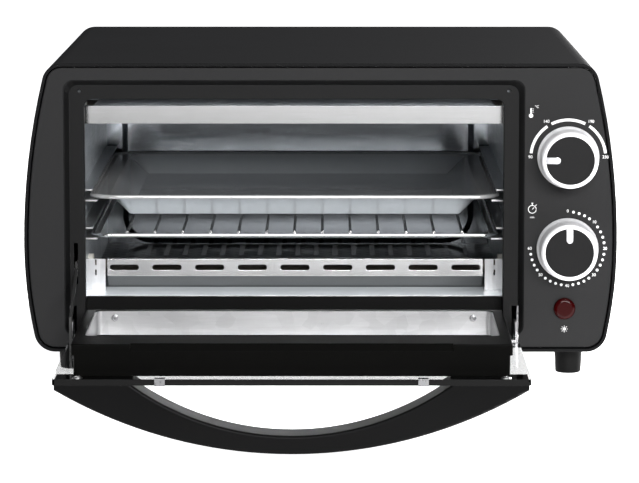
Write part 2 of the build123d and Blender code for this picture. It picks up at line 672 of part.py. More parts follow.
# ---- guides for the rack and the pan ----
RACK_LEDGE = RACK_Z - RAIL_RADIUS - SLIDE_CLEARANCE
PAN_LEDGE = PAN_Z - BEAD_RADIUS - SLIDE_CLEARANCE
GUIDE_START = INNER_FRONT + 1.0
GUIDE_LENGTH = CAVITY_DEPTH - EMBOSS_RAISE - GUIDE_START


def guide_rails(wall_x, inwards):
    """Two ledges and the lips over them, flat strips along one chamber wall."""
    with BuildPart() as rails:
        for z in (RACK_LEDGE, PAN_LEDGE):
            for height, reach in ((z - LEDGE_THICKNESS, LEDGE_WIDTH), (z + LIP_GAP, LIP_WIDTH)):
                with BuildSketch(level(height)):
                    with Locations((wall_x + inwards * reach / 2, FRONT + GUIDE_START + GUIDE_LENGTH / 2)):
                        Rectangle(reach, GUIDE_LENGTH)
                extrude(amount=LEDGE_THICKNESS)
    return rails


guide_rails_left = guide_rails(CAVITY_LEFT, 1)
write(guide_rails_left, "guide_rails_left")
guide_rails_right = guide_rails(CAVITY_RIGHT, -1)
write(guide_rails_right, "guide_rails_right")

# ---- wire rack ----
RACK_FRONT = FRONT + INNER_FRONT + 1.6 + RAIL_RADIUS
RACK_BACK = FRONT + CAVITY_DEPTH - EMBOSS_RAISE - REST_GAP
RACK_HALF = CAVITY_WIDTH / 2 - RACK_SIDE_GAP - RAIL_RADIUS


def loop(x, y, corner):
    """A closed rectangle with round corners as a path, between two x values and two y values."""
    with BuildLine() as path:
        FilletPolyline((x[0], y[0]), (x[1], y[0]), (x[1], y[1]), (x[0], y[1]), radius=corner, close=True)
    return path.line


RACK_X = (CHAMBER_X - RACK_HALF, CHAMBER_X + RACK_HALF)
rack_path = Pos(0, 0, RACK_Z) * loop(RACK_X, (RACK_FRONT, RACK_BACK), RACK_CORNER)

with BuildPart() as wire_rack:
    with BuildSketch(side_on(CHAMBER_X)):
        with Locations((RACK_FRONT, RACK_Z)):
            Circle(RAIL_RADIUS)
    sweep(path=rack_path)
    with BuildSketch(upright(RACK_FRONT - FRONT)):
        with Locations((CHAMBER_X, RACK_Z + RAIL_RADIUS + WIRE_RADIUS - 0.4)):
            with GridLocations(WIRE_PITCH, 0, WIRES, 1):
                Circle(WIRE_RADIUS)
    extrude(amount=-(RACK_BACK - RACK_FRONT))
write(wire_rack, "wire_rack")

# ---- baking pan ----
PAN_HALF = CAVITY_WIDTH / 2 - PAN_SIDE_GAP - BEAD_RADIUS
PAN_X = (CHAMBER_X - PAN_HALF, CHAMBER_X + PAN_HALF)
PAN_Y = (FRONT + INNER_FRONT + 1.0 + BEAD_RADIUS, FRONT + CAVITY_DEPTH - EMBOSS_RAISE - REST_GAP)
BASIN_X = (PAN_X[0] + PAN_FLANGE, PAN_X[1] - PAN_FLANGE)
BASIN_Y = (PAN_Y[0] + PAN_FLANGE / 2, PAN_Y[1] - PAN_FLANGE / 2)
FLANGE_THICKNESS = 1.0
pan_path = Pos(0, 0, PAN_Z) * loop(PAN_X, PAN_Y, PAN_CORNER)

with BuildPart() as baking_pan:
    with BuildSketch(level(PAN_Z + FLANGE_THICKNESS / 2)):
        add(rounded_box(PAN_X, PAN_Y, PAN_CORNER))
    extrude(amount=-FLANGE_THICKNESS)
    with BuildSketch(level(PAN_Z)):
        add(rounded_box(BASIN_X, BASIN_Y, PAN_CORNER - 2))
    extrude(amount=-PAN_DROP, taper=PAN_TAPER)
    with BuildSketch(level(PAN_Z + FLANGE_THICKNESS / 2)):
        add(
            rounded_box(
                (BASIN_X[0] + PAN_SHEET, BASIN_X[1] - PAN_SHEET),
                (BASIN_Y[0] + PAN_SHEET, BASIN_Y[1] - PAN_SHEET),
                PAN_CORNER - 2 - PAN_SHEET,
            )
        )
    extrude(amount=-(PAN_DROP + FLANGE_THICKNESS / 2 - PAN_SHEET), taper=PAN_TAPER, mode=Mode.SUBTRACT)
    with BuildSketch(side_on(CHAMBER_X)):
        with Locations((PAN_Y[0], PAN_Z)):
            Circle(BEAD_RADIUS)
    sweep(path=pan_path)
write(baking_pan, "baking_pan")

# ---- door, drawn open ----
GLASS_X = (CHAMBER_X - GLASS_WIDTH / 2, CHAMBER_X + GLASS_WIDTH / 2)
GLASS_UNDER = open_z(0)  # the glass's outer face looks down
GLASS_OVER = open_z(GLASS_THICKNESS)
DOOR_END = open_y(GLASS_TOP)  # the free edge, nearest the viewer
FRAME_OVER = open_z(FRAME_BACK)
FRAME_X = (CHAMBER_X - FRAME_WIDTH / 2, CHAMBER_X + FRAME_WIDTH / 2)
FRAME_Y = (open_y(FRAME_TOP), open_y(FRAME_BOTTOM))
WINDOW_X = (FRAME_X[0] + WINDOW_SIDE, FRAME_X[1] - WINDOW_SIDE)
WINDOW_Y = (FRAME_Y[0] + WINDOW_TOP, FRAME_Y[1] - WINDOW_BOTTOM)
HANDLE_HALF = GLASS_WIDTH / 2 - HANDLE_END_GAP
HANDLE_SCREW_Y = open_y((GLASS_TOP + FRAME_TOP) / 2)
HANDLE_SCREW_X = HANDLE_HALF - HANDLE_SCREW_INSET
HANDLE_SCREW_RADIUS = 1.8
HANDLE_SCREW_HEAD = 3.2
HANDLE_SCREW_DEPTH = 5.0

with BuildPart() as door_glass:
    with BuildSketch(level(GLASS_UNDER)):
        add(rounded_box(GLASS_X, (DOOR_END + TRIM_THICKNESS, open_y(GLASS_BOTTOM)), GLASS_CORNER))
        with Locations((CHAMBER_X, HANDLE_SCREW_Y)):
            with GridLocations(2 * HANDLE_SCREW_X, 0, 2, 1):
                Circle(HANDLE_SCREW_RADIUS, mode=Mode.SUBTRACT)
    extrude(amount=GLASS_THICKNESS)
write(door_glass, "door_glass")

with BuildPart() as edge_trim:
    with BuildSketch(level(GLASS_UNDER)):
        with Locations((CHAMBER_X, DOOR_END)):
            Rectangle(GLASS_WIDTH - 2 * GLASS_CORNER, TRIM_THICKNESS, align=(Align.CENTER, Align.MIN))
    extrude(amount=GLASS_THICKNESS)
write(edge_trim, "edge_trim")

with BuildPart() as trim_clips:
    with BuildSketch(level(GLASS_UNDER - CLIP_SHEET)):
        with Locations((CHAMBER_X, DOOR_END - CLIP_SHEET)):
            with Locations((-CLIP_OFFSET, 0), (CLIP_OFFSET, 0)):
                Rectangle(CLIP_WIDTH, 5.0, align=(Align.CENTER, Align.MIN))
    extrude(amount=GLASS_THICKNESS + 2 * CLIP_SHEET)
    with BuildSketch(level(GLASS_UNDER)):
        with Locations((CHAMBER_X, DOOR_END)):
            Rectangle(GLASS_WIDTH, 10.0, align=(Align.CENTER, Align.MIN))
    extrude(amount=GLASS_THICKNESS, mode=Mode.SUBTRACT)
write(trim_clips, "trim_clips")

with BuildPart() as door_frame:
    with BuildSketch(level(GLASS_OVER)):
        add(rounded_box(FRAME_X, FRAME_Y, 2.0))
    extrude(amount=FRAME_DEPTH)
    with BuildSketch(level(FRAME_OVER - FRAME_LIP_DEPTH)):
        add(rounded_box((FRAME_X[0] - FRAME_LIP, FRAME_X[1] + FRAME_LIP), FRAME_Y, 2.0))
    extrude(amount=FRAME_LIP_DEPTH)
    fillet(door_frame.edges().group_by(Axis.Z)[-1], 0.8)
    with BuildSketch(level(GLASS_OVER)):
        add(
            rounded_box(
                (FRAME_X[0] + FRAME_WALL, FRAME_X[1] - FRAME_WALL),
                (FRAME_Y[0] + FRAME_END_WALL, FRAME_Y[1] - FRAME_WALL),
                1.5,
            )
        )
    extrude(amount=FRAME_DEPTH - FRAME_WALL, mode=Mode.SUBTRACT)
    with BuildSketch(level(GLASS_OVER)):
        add(rounded_box(WINDOW_X, WINDOW_Y, WINDOW_CORNER))
    extrude(amount=FRAME_DEPTH + 1, mode=Mode.SUBTRACT)
    with BuildSketch(side_on(CHAMBER_X)):
        with BuildLine():
            Polyline(
                (FRAME_Y[0] - 1, FRAME_OVER + 1),
                (FRAME_Y[0] - 1, FRAME_OVER - REBATE),
                (FRAME_Y[0], FRAME_OVER - REBATE),
                (FRAME_Y[0] + REBATE, FRAME_OVER),
                (FRAME_Y[0] + REBATE, FRAME_OVER + 1),
                close=True,
            )
        make_face()
    extrude(amount=FRAME_WIDTH / 2 - END_BLOCK, both=True, mode=Mode.SUBTRACT)
write(door_frame, "door_frame")

LINER_SHEET = 0.8
RIVET_OFFSET = 12.0
with BuildPart() as window_liner:
    with BuildSketch(level(FRAME_OVER - WINDOW_LINER_DEPTH)):
        add(rounded_box(WINDOW_X, WINDOW_Y, WINDOW_CORNER))
        add(
            rounded_box(
                (WINDOW_X[0] + LINER_SHEET, WINDOW_X[1] - LINER_SHEET),
                (WINDOW_Y[0] + LINER_SHEET, WINDOW_Y[1] - LINER_SHEET),
                WINDOW_CORNER - LINER_SHEET,
            ),
            mode=Mode.SUBTRACT,
        )
    extrude(amount=WINDOW_LINER_DEPTH - 0.5)
write(window_liner, "window_liner")

RIVET_RADIUS = 2.2
RIVET_DROP = 4.5  # from the frame's inner face to a rivet's middle
RIVET_HEIGHT = 1.2
with BuildPart() as liner_rivets:
    with BuildSketch(Plane.XZ.offset(-(WINDOW_Y[1] - LINER_SHEET))):
        for x in (WINDOW_X[0] + RIVET_OFFSET, WINDOW_X[1] - RIVET_OFFSET):
            with Locations((x, FRAME_OVER - RIVET_DROP)):
                Circle(RIVET_RADIUS)
    extrude(amount=RIVET_HEIGHT)
    fillet(liner_rivets.edges().group_by(Axis.Y)[0], 0.9)
write(liner_rivets, "liner_rivets")

with BuildPart() as handle:
    with BuildSketch(Plane.XZ.offset(-DOOR_END)):
        with BuildLine():
            left = (CHAMBER_X - HANDLE_HALF, GLASS_UNDER)
            right = (CHAMBER_X + HANDLE_HALF, GLASS_UNDER)
            inner_left = (left[0] + HANDLE_ROOT, GLASS_UNDER)
            inner_right = (right[0] - HANDLE_ROOT, GLASS_UNDER)
            ThreePointArc(
                (left[0], left[1] - HANDLE_TIP),
                (CHAMBER_X, GLASS_UNDER - HANDLE_REACH),
                (right[0], right[1] - HANDLE_TIP),
            )
            ThreePointArc(inner_left, (CHAMBER_X, GLASS_UNDER - HANDLE_HOLLOW), inner_right)
            Polyline((left[0], left[1] - HANDLE_TIP), left, inner_left)
            Polyline((right[0], right[1] - HANDLE_TIP), right, inner_right)
        make_face()
    extrude(amount=-HANDLE_WIDTH)
    bows = handle.edges().filter_by(GeomType.CIRCLE)
    fillet(bows, HANDLE_ROUND)
    with BuildSketch(level(GLASS_UNDER)):
        with Locations((CHAMBER_X, HANDLE_SCREW_Y)):
            with GridLocations(2 * HANDLE_SCREW_X, 0, 2, 1):
                Circle(HANDLE_SCREW_RADIUS)
    extrude(amount=-HANDLE_SCREW_DEPTH, mode=Mode.SUBTRACT)
write(handle, "handle")

SCREW_SEAT_GAP = 0.5  # left at a screw's tip, and over its head with the door shut
with BuildPart() as handle_screws:
    with BuildSketch(level(GLASS_OVER)):
        with Locations((CHAMBER_X, HANDLE_SCREW_Y)):
            with GridLocations(2 * HANDLE_SCREW_X, 0, 2, 1):
                Circle(HANDLE_SCREW_HEAD)
    extrude(amount=SEAT_CLEARANCE - SCREW_SEAT_GAP)
    fillet(handle_screws.edges().group_by(Axis.Z)[-1], 0.7)
    with BuildSketch(level(GLASS_OVER)):
        with Locations((CHAMBER_X, HANDLE_SCREW_Y)):
            with GridLocations(2 * HANDLE_SCREW_X, 0, 2, 1):
                Circle(HANDLE_SCREW_RADIUS)
    extrude(amount=-(GLASS_THICKNESS + HANDLE_SCREW_DEPTH - SCREW_SEAT_GAP))
write(handle_screws, "handle_screws")

# ---- hinges ----
HINGE_Y = FRONT + HINGE_DEPTH
EAR_FLANGE = 6.5
EAR_SHEET = 1.0
BRACKET_THICKNESS = 0.9
BRACKET_BACK = 12.0
BRACKET_TOP = HINGE_Z + 19.0
BRACKET_FLANGE = 4.6


def hinge_arm(side):
    """The ear that stands on the open door's inner face and turns on the hinge pin."""
    start = open_y(GLASS_BOTTOM)
    tip = start - EAR_LENGTH
    with BuildPart() as arm:
        with BuildSketch(side_on(CHAMBER_X + side * EAR_X)):
            with Locations((HINGE_Y, HINGE_Z)):
                Circle(KNUCKLE_RADIUS)
            with BuildLine():
                Polyline(
                    (tip, GLASS_OVER),
                    (tip, GLASS_OVER + EAR_REACH / 2),
                    (tip + 5, GLASS_OVER + EAR_REACH),
                    (HINGE_Y - 1, GLASS_OVER + EAR_REACH),
                    (HINGE_Y + KNUCKLE_RADIUS, HINGE_Z),
                    (HINGE_Y - KNUCKLE_RADIUS, HINGE_Z - 0.2),
                    (start, GLASS_OVER),
                    close=True,
                )
            make_face()
            with Locations((HINGE_Y, HINGE_Z)):
                Circle(PIN_RADIUS + PIN_CLEARANCE, mode=Mode.SUBTRACT)
        extrude(amount=EAR_THICKNESS / 2, both=True)
        with BuildSketch(level(GLASS_OVER)):
            inner = FRAME_WIDTH / 2
            outer = EAR_X + EAR_THICKNESS / 2
            with Locations((CHAMBER_X + side * (inner + outer) / 2, tip + EAR_FLANGE / 2)):
                Rectangle(outer - inner, EAR_FLANGE)
        extrude(amount=EAR_SHEET)
    return arm


def hinge_bracket(side):
    """The fixed plate beside an ear, with a flange on the back of the door seat."""
    near = EAR_X + EAR_THICKNESS / 2 + BRACKET_GAP
    with BuildPart() as bracket:
        with BuildSketch(side_on(CHAMBER_X + side * (near + BRACKET_THICKNESS / 2))):
            with Locations((HINGE_Y, HINGE_Z)):
                Circle(KNUCKLE_RADIUS)
            with BuildLine():
                Polyline(
                    (HINGE_Y, HINGE_Z - KNUCKLE_RADIUS),
                    (HINGE_Y, HINGE_Z + KNUCKLE_RADIUS),
                    (FRONT + SEAT_DEPTH + SEAT_FLOOR, HINGE_Z + KNUCKLE_RADIUS),
                    (FRONT + SEAT_DEPTH + SEAT_FLOOR, BRACKET_TOP),
                    (FRONT + BRACKET_BACK, BRACKET_TOP),
                    (FRONT + BRACKET_BACK, HINGE_Z - KNUCKLE_RADIUS),
                    close=True,
                )
            make_face()
            with Locations((HINGE_Y, HINGE_Z)):
                Circle(PIN_RADIUS, mode=Mode.SUBTRACT)
        extrude(amount=BRACKET_THICKNESS / 2, both=True)
        with BuildSketch(upright(SEAT_DEPTH + SEAT_FLOOR)):
            low = HINGE_Z + KNUCKLE_RADIUS
            with Locations(
                (CHAMBER_X + side * (near + BRACKET_THICKNESS + BRACKET_FLANGE / 2), (low + BRACKET_TOP) / 2)
            ):
                Rectangle(BRACKET_FLANGE, BRACKET_TOP - low)
        extrude(amount=-EAR_SHEET)
    return bracket


hinge_arm_left = hinge_arm(-1)
write(hinge_arm_left, "hinge_arm_left")
hinge_arm_right = hinge_arm(1)
write(hinge_arm_right, "hinge_arm_right")
hinge_bracket_left = hinge_bracket(-1)
write(hinge_bracket_left, "hinge_bracket_left")
hinge_bracket_right = hinge_bracket(1)
write(hinge_bracket_right, "hinge_bracket_right")

PIN_INNER = EAR_X - EAR_THICKNESS / 2 - 0.3
PIN_OUTER = EAR_X + EAR_THICKNESS / 2 + BRACKET_GAP + BRACKET_THICKNESS
with BuildPart() as hinge_pins:
    for side in (-1, 1):
        with BuildSketch(side_on(CHAMBER_X + side * (PIN_INNER + PIN_OUTER) / 2)):
            with Locations((HINGE_Y, HINGE_Z)):
                Circle(PIN_RADIUS)
        extrude(amount=(PIN_OUTER - PIN_INNER) / 2, both=True)
write(hinge_pins, "hinge_pins")

with BuildPart() as check_arm:
    near = (HINGE_Y - CHECK_NEAR[0], HINGE_Z + CHECK_NEAR[1])
    far = (HINGE_Y - CHECK_FAR[0] + CHECK_TAIL, HINGE_Z + CHECK_FAR[1] + CHECK_TAIL * 0.42)
    with BuildSketch(side_on(CHAMBER_X - CHECK_X)):
        with BuildLine():
            Polyline(
                (near[0] - CHECK_FOOT / 2, GLASS_OVER),
                (near[0] - CHECK_WIDTH / 2, near[1] + CHECK_WIDTH / 2),
                (far[0] - 2.2, far[1] + CHECK_WIDTH / 2 - 1),
                (far[0] - 2.2, far[1] + CHECK_WIDTH + 1.5),
                (far[0], far[1] + CHECK_WIDTH + 1.5),
                (far[0], far[1] - CHECK_WIDTH / 2),
                (near[0] + CHECK_WIDTH / 2, near[1] - CHECK_WIDTH / 2),
                (near[0] + CHECK_FOOT / 2, GLASS_OVER),
                close=True,
            )
        make_face()
    extrude(amount=CHECK_THICKNESS / 2, both=True)
write(check_arm, "check_arm")

# ---- knobs and what they turn ----
KNOB_BACK = FRONT - KNOB_GAP
KNOB_FRONT = KNOB_BACK - KNOB_LENGTH
HUB_RADIUS = 6.5
CONTROL_START = PANEL_THICKNESS + 5.0
SHAFT_INTO_CONTROL = 10.0
SHAFT_INTO_KNOB = 14.0


def knob(z):
    """A flared shell with a hub for the shaft and a shallow seat for the face."""
    with BuildPart() as shell:
        with BuildSketch(side_on(KNOB_X)):
            with BuildLine():
                Polyline(
                    (KNOB_BACK, z + KNOB_BASE_RADIUS - KNOB_WALL),
                    (KNOB_BACK, z + KNOB_BASE_RADIUS),
                    (KNOB_BACK - 1.2, z + KNOB_BASE_RADIUS),
                    (KNOB_BACK - 4.0, z + KNOB_FRONT_RADIUS + 0.5),
                    (KNOB_FRONT + 1.2, z + KNOB_FRONT_RADIUS),
                    (KNOB_FRONT, z + KNOB_FRONT_RADIUS - 1.0),
                    (KNOB_FRONT, z + KNOB_FACE_RADIUS),
                    (KNOB_FRONT + FACE_RECESS, z + KNOB_FACE_RADIUS),
                    (KNOB_FRONT + FACE_RECESS, z),
                    (KNOB_FRONT + FACE_RECESS + KNOB_WALL, z),
                    (KNOB_FRONT + FACE_RECESS + KNOB_WALL, z + KNOB_FRONT_RADIUS - KNOB_WALL),
                    close=True,
                )
            make_face()
        revolve(axis=Axis((KNOB_X, 0, z), (0, 1, 0)))
        with BuildSketch(Plane.XZ.offset(-KNOB_BACK)):
            with Locations((KNOB_X, z)):
                Circle(HUB_RADIUS)
        extrude(amount=KNOB_LENGTH - FACE_RECESS - 0.5)
        with BuildSketch(Plane.XZ.offset(-KNOB_BACK)):
            with Locations((KNOB_X, z)):
                Circle(SHAFT_RADIUS)
        extrude(amount=SHAFT_INTO_KNOB, mode=Mode.SUBTRACT)
    return shell


def knob_face(z):
    with BuildPart() as face:
        with BuildSketch(Plane.XZ.offset(-(KNOB_FRONT + FACE_RECESS))):
            with Locations((KNOB_X, z)):
                Circle(KNOB_FACE_RADIUS)
        extrude(amount=FACE_THICKNESS)
    return face


def knob_pointer(z, direction):
    """A bar from the rim inwards, on the side that direction names as (x, z)."""
    middle = KNOB_FACE_RADIUS - 0.4 - POINTER_LENGTH / 2
    size = (POINTER_LENGTH, POINTER_WIDTH) if direction[0] else (POINTER_WIDTH, POINTER_LENGTH)
    with BuildPart() as bar:
        with BuildSketch(Plane.XZ.offset(-(KNOB_FRONT + FACE_RECESS - FACE_THICKNESS))):
            with Locations((KNOB_X + direction[0] * middle, z + direction[1] * middle)):
                RectangleRounded(*size, 0.8)
        extrude(amount=POINTER_THICKNESS)
    return bar


def knob_shaft(z):
    with BuildPart() as shaft:
        with BuildSketch(Plane.XZ.offset(-(KNOB_BACK - SHAFT_INTO_KNOB))):
            with Locations((KNOB_X, z)):
                Circle(SHAFT_RADIUS)
        extrude(amount=-(SHAFT_INTO_KNOB + KNOB_GAP + CONTROL_START + SHAFT_INTO_CONTROL - 0.5))
    return shaft


def control(z, width, height, depth):
    """A switch body behind the panel with its bush in the panel's hole."""
    with BuildPart() as body:
        with BuildSketch(upright(CONTROL_START)):
            add(rounded_box((KNOB_X - width / 2, KNOB_X + width / 2), (z - height / 2, z + height / 2), 2.0))
        extrude(amount=-depth)
        with BuildSketch(upright(0.3)):
            with Locations((KNOB_X, z)):
                Circle(BOSS_RADIUS)
        extrude(amount=-(CONTROL_START - 0.3))
        with BuildSketch(upright(0)):
            with Locations((KNOB_X, z)):
                Circle(SHAFT_RADIUS + SHAFT_CLEARANCE)
        extrude(amount=-(CONTROL_START + SHAFT_INTO_CONTROL), mode=Mode.SUBTRACT)
    return body


for name, z, direction in (("thermostat", THERMOSTAT_Z, (-1, 0)), ("timer", TIMER_Z, (0, 1))):
    write(knob(z), f"{name}_knob")
    write(knob_face(z), f"{name}_knob_face")
    write(knob_pointer(z, direction), f"{name}_knob_pointer")
    write(knob_shaft(z), f"{name}_shaft")
write(control(THERMOSTAT_Z, THERMOSTAT_SIZE, THERMOSTAT_SIZE, THERMOSTAT_DEPTH), "thermostat")
write(control(TIMER_Z, TIMER_WIDTH, TIMER_TALL, TIMER_DEPTH), "timer")

# ---- lamp, wiring block and heat shield ----
LENS_PROUD = 3.2
LENS_STEM_REACH = 3.0  # behind the panel
with BuildPart() as indicator_lens:
    with BuildSketch(upright(0)):
        with Locations((LAMP_X, LAMP_Z)):
            Circle(LENS_RADIUS)
    extrude(amount=LENS_PROUD)
    fillet(indicator_lens.edges().group_by(Axis.Y)[0], LENS_PROUD - 0.8)
    with BuildSketch(upright(0)):
        with Locations((LAMP_X, LAMP_Z)):
            Circle(LENS_STEM_RADIUS)
    extrude(amount=-(PANEL_THICKNESS + LENS_STEM_REACH))
write(indicator_lens, "indicator_lens")

LAMP_GAP = 1.0  # between the lens stem and the lamp
LAMP_RADIUS = 3.0
LAMP_LENGTH = 18.0
with BuildPart() as neon_lamp:
    with BuildSketch(upright(PANEL_THICKNESS + LENS_STEM_REACH + LAMP_GAP)):
        with Locations((LAMP_X, LAMP_Z)):
            Circle(LAMP_RADIUS)
    extrude(amount=-LAMP_LENGTH)
    fillet(neon_lamp.edges().group_by(Axis.Y)[0], 2.4)
write(neon_lamp, "neon_lamp")

SHIELD_GAP = 9.0  # between the chamber wall's outside and the shield
SHIELD_HOLE_RADIUS = 4.0
SHIELD_X = CAVITY_RIGHT + SHEET + SHIELD_GAP
with BuildPart() as heat_shield:
    with BuildSketch(side_on(SHIELD_X)):
        with Locations((FRONT + BRACKET_BACK + 3, BASE + SHELL_WALL * 2)):
            Rectangle(
                REAR_PANEL_DEPTH - BRACKET_BACK - 3,
                BODY_HEIGHT - SHELL_WALL * 3 - 1,
                align=(Align.MIN, Align.MIN),
            )
        with Locations(*HEATERS):
            Circle(SHIELD_HOLE_RADIUS, mode=Mode.SUBTRACT)
    extrude(amount=SHEET)
write(heat_shield, "heat_shield")

BLOCK_WIDTH = 14.0
BLOCK_LENGTH = 32.0
BLOCK_HEIGHT = 12.0
BLOCK_AT = (SHIELD_X + 11.0, BACK - 60.0)
BLOCK_HOLE_RADIUS = 2.2
BLOCK_HOLE_DEPTH = 4.0
BLOCK_HOLE_PITCH = 10.0
with BuildPart() as terminal_block:
    with BuildSketch(level(BASE + 2 * SHELL_WALL)):
        with Locations(BLOCK_AT):
            RectangleRounded(BLOCK_WIDTH, BLOCK_LENGTH, 1.5)
    extrude(amount=BLOCK_HEIGHT)
    with BuildSketch(level(BASE + 2 * SHELL_WALL + BLOCK_HEIGHT)):
        with Locations(BLOCK_AT):
            with GridLocations(0, BLOCK_HOLE_PITCH, 1, 3):
                Circle(BLOCK_HOLE_RADIUS)
    extrude(amount=-BLOCK_HOLE_DEPTH, mode=Mode.SUBTRACT)
write(terminal_block, "terminal_block")
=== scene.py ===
"""Finishes, small fittings, light and camera for a countertop toaster oven, as a Blender add-on.

Lengths are in metres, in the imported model's own frame: X to the right, Y into the oven, Z up.
"""

import math

import bmesh
import bpy
from bpy.props import FloatProperty, FloatVectorProperty, PointerProperty
from mathutils import Matrix, Vector


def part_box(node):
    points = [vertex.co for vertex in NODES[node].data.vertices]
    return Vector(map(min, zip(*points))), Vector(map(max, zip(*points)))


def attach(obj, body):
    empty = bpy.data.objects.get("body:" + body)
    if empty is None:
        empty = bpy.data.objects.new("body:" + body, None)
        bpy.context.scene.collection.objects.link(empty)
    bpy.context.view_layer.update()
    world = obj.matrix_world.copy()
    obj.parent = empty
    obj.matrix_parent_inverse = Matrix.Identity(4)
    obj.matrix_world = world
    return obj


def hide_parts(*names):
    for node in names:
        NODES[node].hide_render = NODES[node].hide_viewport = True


bl_info = {
    "name": "Toaster oven finishes",
    "version": (1, 0, 0),
    "blender": (4, 5, 0),
    "location": "3D View > Sidebar > Oven",
    "description": "Dresses the packed toaster oven and sets up its stage",
    "category": "Object",
}

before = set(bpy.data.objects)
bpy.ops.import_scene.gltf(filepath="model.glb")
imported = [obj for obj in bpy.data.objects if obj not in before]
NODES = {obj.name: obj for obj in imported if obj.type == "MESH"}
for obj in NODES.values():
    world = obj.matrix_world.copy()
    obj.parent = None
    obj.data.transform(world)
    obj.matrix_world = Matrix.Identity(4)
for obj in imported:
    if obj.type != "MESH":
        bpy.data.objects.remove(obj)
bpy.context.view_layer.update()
PANEL_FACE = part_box("front_panel")[0].y

# Where one finish gives way to another, where painted shade starts on the door seat, the lower
# guard's skirt, the back wall's foot and the floor behind the guard, and the floor's punched
# holes. PUNCHED_FROM is a share of the floor's depth, front to back.
SEAT_BEHIND_FACE = 0.0012
SKIRT_HEIGHT = 0.009
SKIRT_BLEND = 0.0003
BACK_FOOT_HEIGHT = 0.03
GUARD_THICKNESS = 0.001
GUARD_SHADOW_HALF_BLEND = 0.0015
PUNCHED_FROM = 0.62
HOLE_PITCH = 0.0128
HOLE_RADIUS = 0.0016
PAN_RIM_DEPTH = 0.0024

# The dials. Angles are in degrees, and places are from the middle of the knob.
TEMPERATURE_ARCS = ((174, 124.5), (117, 63.5), (56, 6))
TEMPERATURES = (
    ("90", -0.0232, 0.0), ("140", -0.0136, 0.0219), ("190", 0.0138, 0.0219), ("230", 0.0229, 0.0),
)
TIMER_RADIUS = 0.0228
TIMER_DOTS = 31
DOTS_PER_FIGURE = 5
DOT_STEP = 9
FIGURE_STEP = 45
FIGURES_OUT = 0.0004
FIGURE_SCALE = 0.85
LETTER_TO_SIZE = 0.72

# The screws: height over radius, and how far each head is turned past the one before.
SCREW_DOME = 0.62
SCREW_SPIN = 23

# The stage.
CAMERA_TO_PANEL = 2.16
FLOOR_HALF_WIDTH = 7.0
FLOOR_REACH = 6.0
FLOOR_BEHIND = 1.0
FLOOR_EASE = 0.14
FLOOR_STEPS = 16
FLOOR_UNDER_HANDLE = 0.006
CARD_UNDER_HANDLE = 0.005
CARD_AHEAD = 0.11
CARD_HALF_WIDTH = 0.9
CARD_DEPTH = 1.75
CARD_BLEND = 0.3
CARD_NEAR_BAND = 0.45
CARD_NEAR_LEFT = 4.0
CARD_NEAR_RIGHT = 2.0
LIGHTS = (
    ("softbox_top", (0.2, -0.4, 2.4), (0.0, -0.1, 0.0), (2.2, 2.0), "top_power"),
    ("softbox_right", (0.85, 0.6, 0.5), (0.15, 0.0, 0.18), (0.5, 0.5), "right_power"),
    ("softbox_front", (0.6, -2.7, 0.95), (0.0, 0.0, 0.08), (1.8, 0.7), "front_power"),
)


# ---------------------------------------------------------------- settings

COLOUR = {"subtype": "COLOR", "size": 3, "min": 0.0, "max": 1.0}
ANGLE = {"unit": "ROTATION", "subtype": "ANGLE", "min": -1.5, "max": 1.5}
POWER = {"unit": "POWER", "min": 0.0, "max": 2000.0}
GLOW = {"min": 0.0, "max": 3.0}


class OvenPaintSettings(bpy.types.PropertyGroup):
    shell_colour: FloatVectorProperty(
        name="Shell colour", description="Paint on the shell and the rear panel",
        default=(0.0065, 0.0065, 0.0069), **COLOUR,
    )
    panel_colour: FloatVectorProperty(
        name="Panel colour", description="Paint on the front panel",
        default=(0.014, 0.014, 0.0145), **COLOUR,
    )
    handle_colour: FloatVectorProperty(
        name="Handle colour", description="Moulded handle",
        default=(0.0034, 0.0034, 0.0035), **COLOUR,
    )
    grain_size: FloatProperty(
        name="Paint grain", description="Size of the grain in the satin paint",
        unit="LENGTH", min=0.0001, max=0.005, default=0.0006,
    )


class OvenMetalSettings(bpy.types.PropertyGroup):
    sheet_colour: FloatVectorProperty(
        name="Chamber sheet", description="Galvanised sheet that lines the chamber",
        default=(0.5, 0.53, 0.565), **COLOUR,
    )
    guard_colour: FloatVectorProperty(
        name="Guards", description="Bright sheet of the two heater guards",
        default=(0.88, 0.88, 0.885), **COLOUR,
    )
    wire_colour: FloatVectorProperty(
        name="Wire", description="Plated wire of the rack",
        default=(0.72, 0.72, 0.73), **COLOUR,
    )
    pan_colour: FloatVectorProperty(
        name="Pan sheet", description="Smooth bright sheet of the baking pan",
        default=(0.6, 0.62, 0.64), **COLOUR,
    )


class OvenKnobSettings(bpy.types.PropertyGroup):
    silver_colour: FloatVectorProperty(
        name="Knob silver", description="Satin plating of the knobs",
        default=(0.92, 0.92, 0.96), **COLOUR,
    )
    face_colour: FloatVectorProperty(
        name="Knob face", description="Spun black disc in each knob",
        default=(0.007, 0.007, 0.0073), **COLOUR,
    )
    ring_pitch: FloatProperty(
        name="Ring pitch", description="Spacing of the turned rings on the disc",
        unit="LENGTH", min=0.00005, max=0.002, default=0.00028,
    )


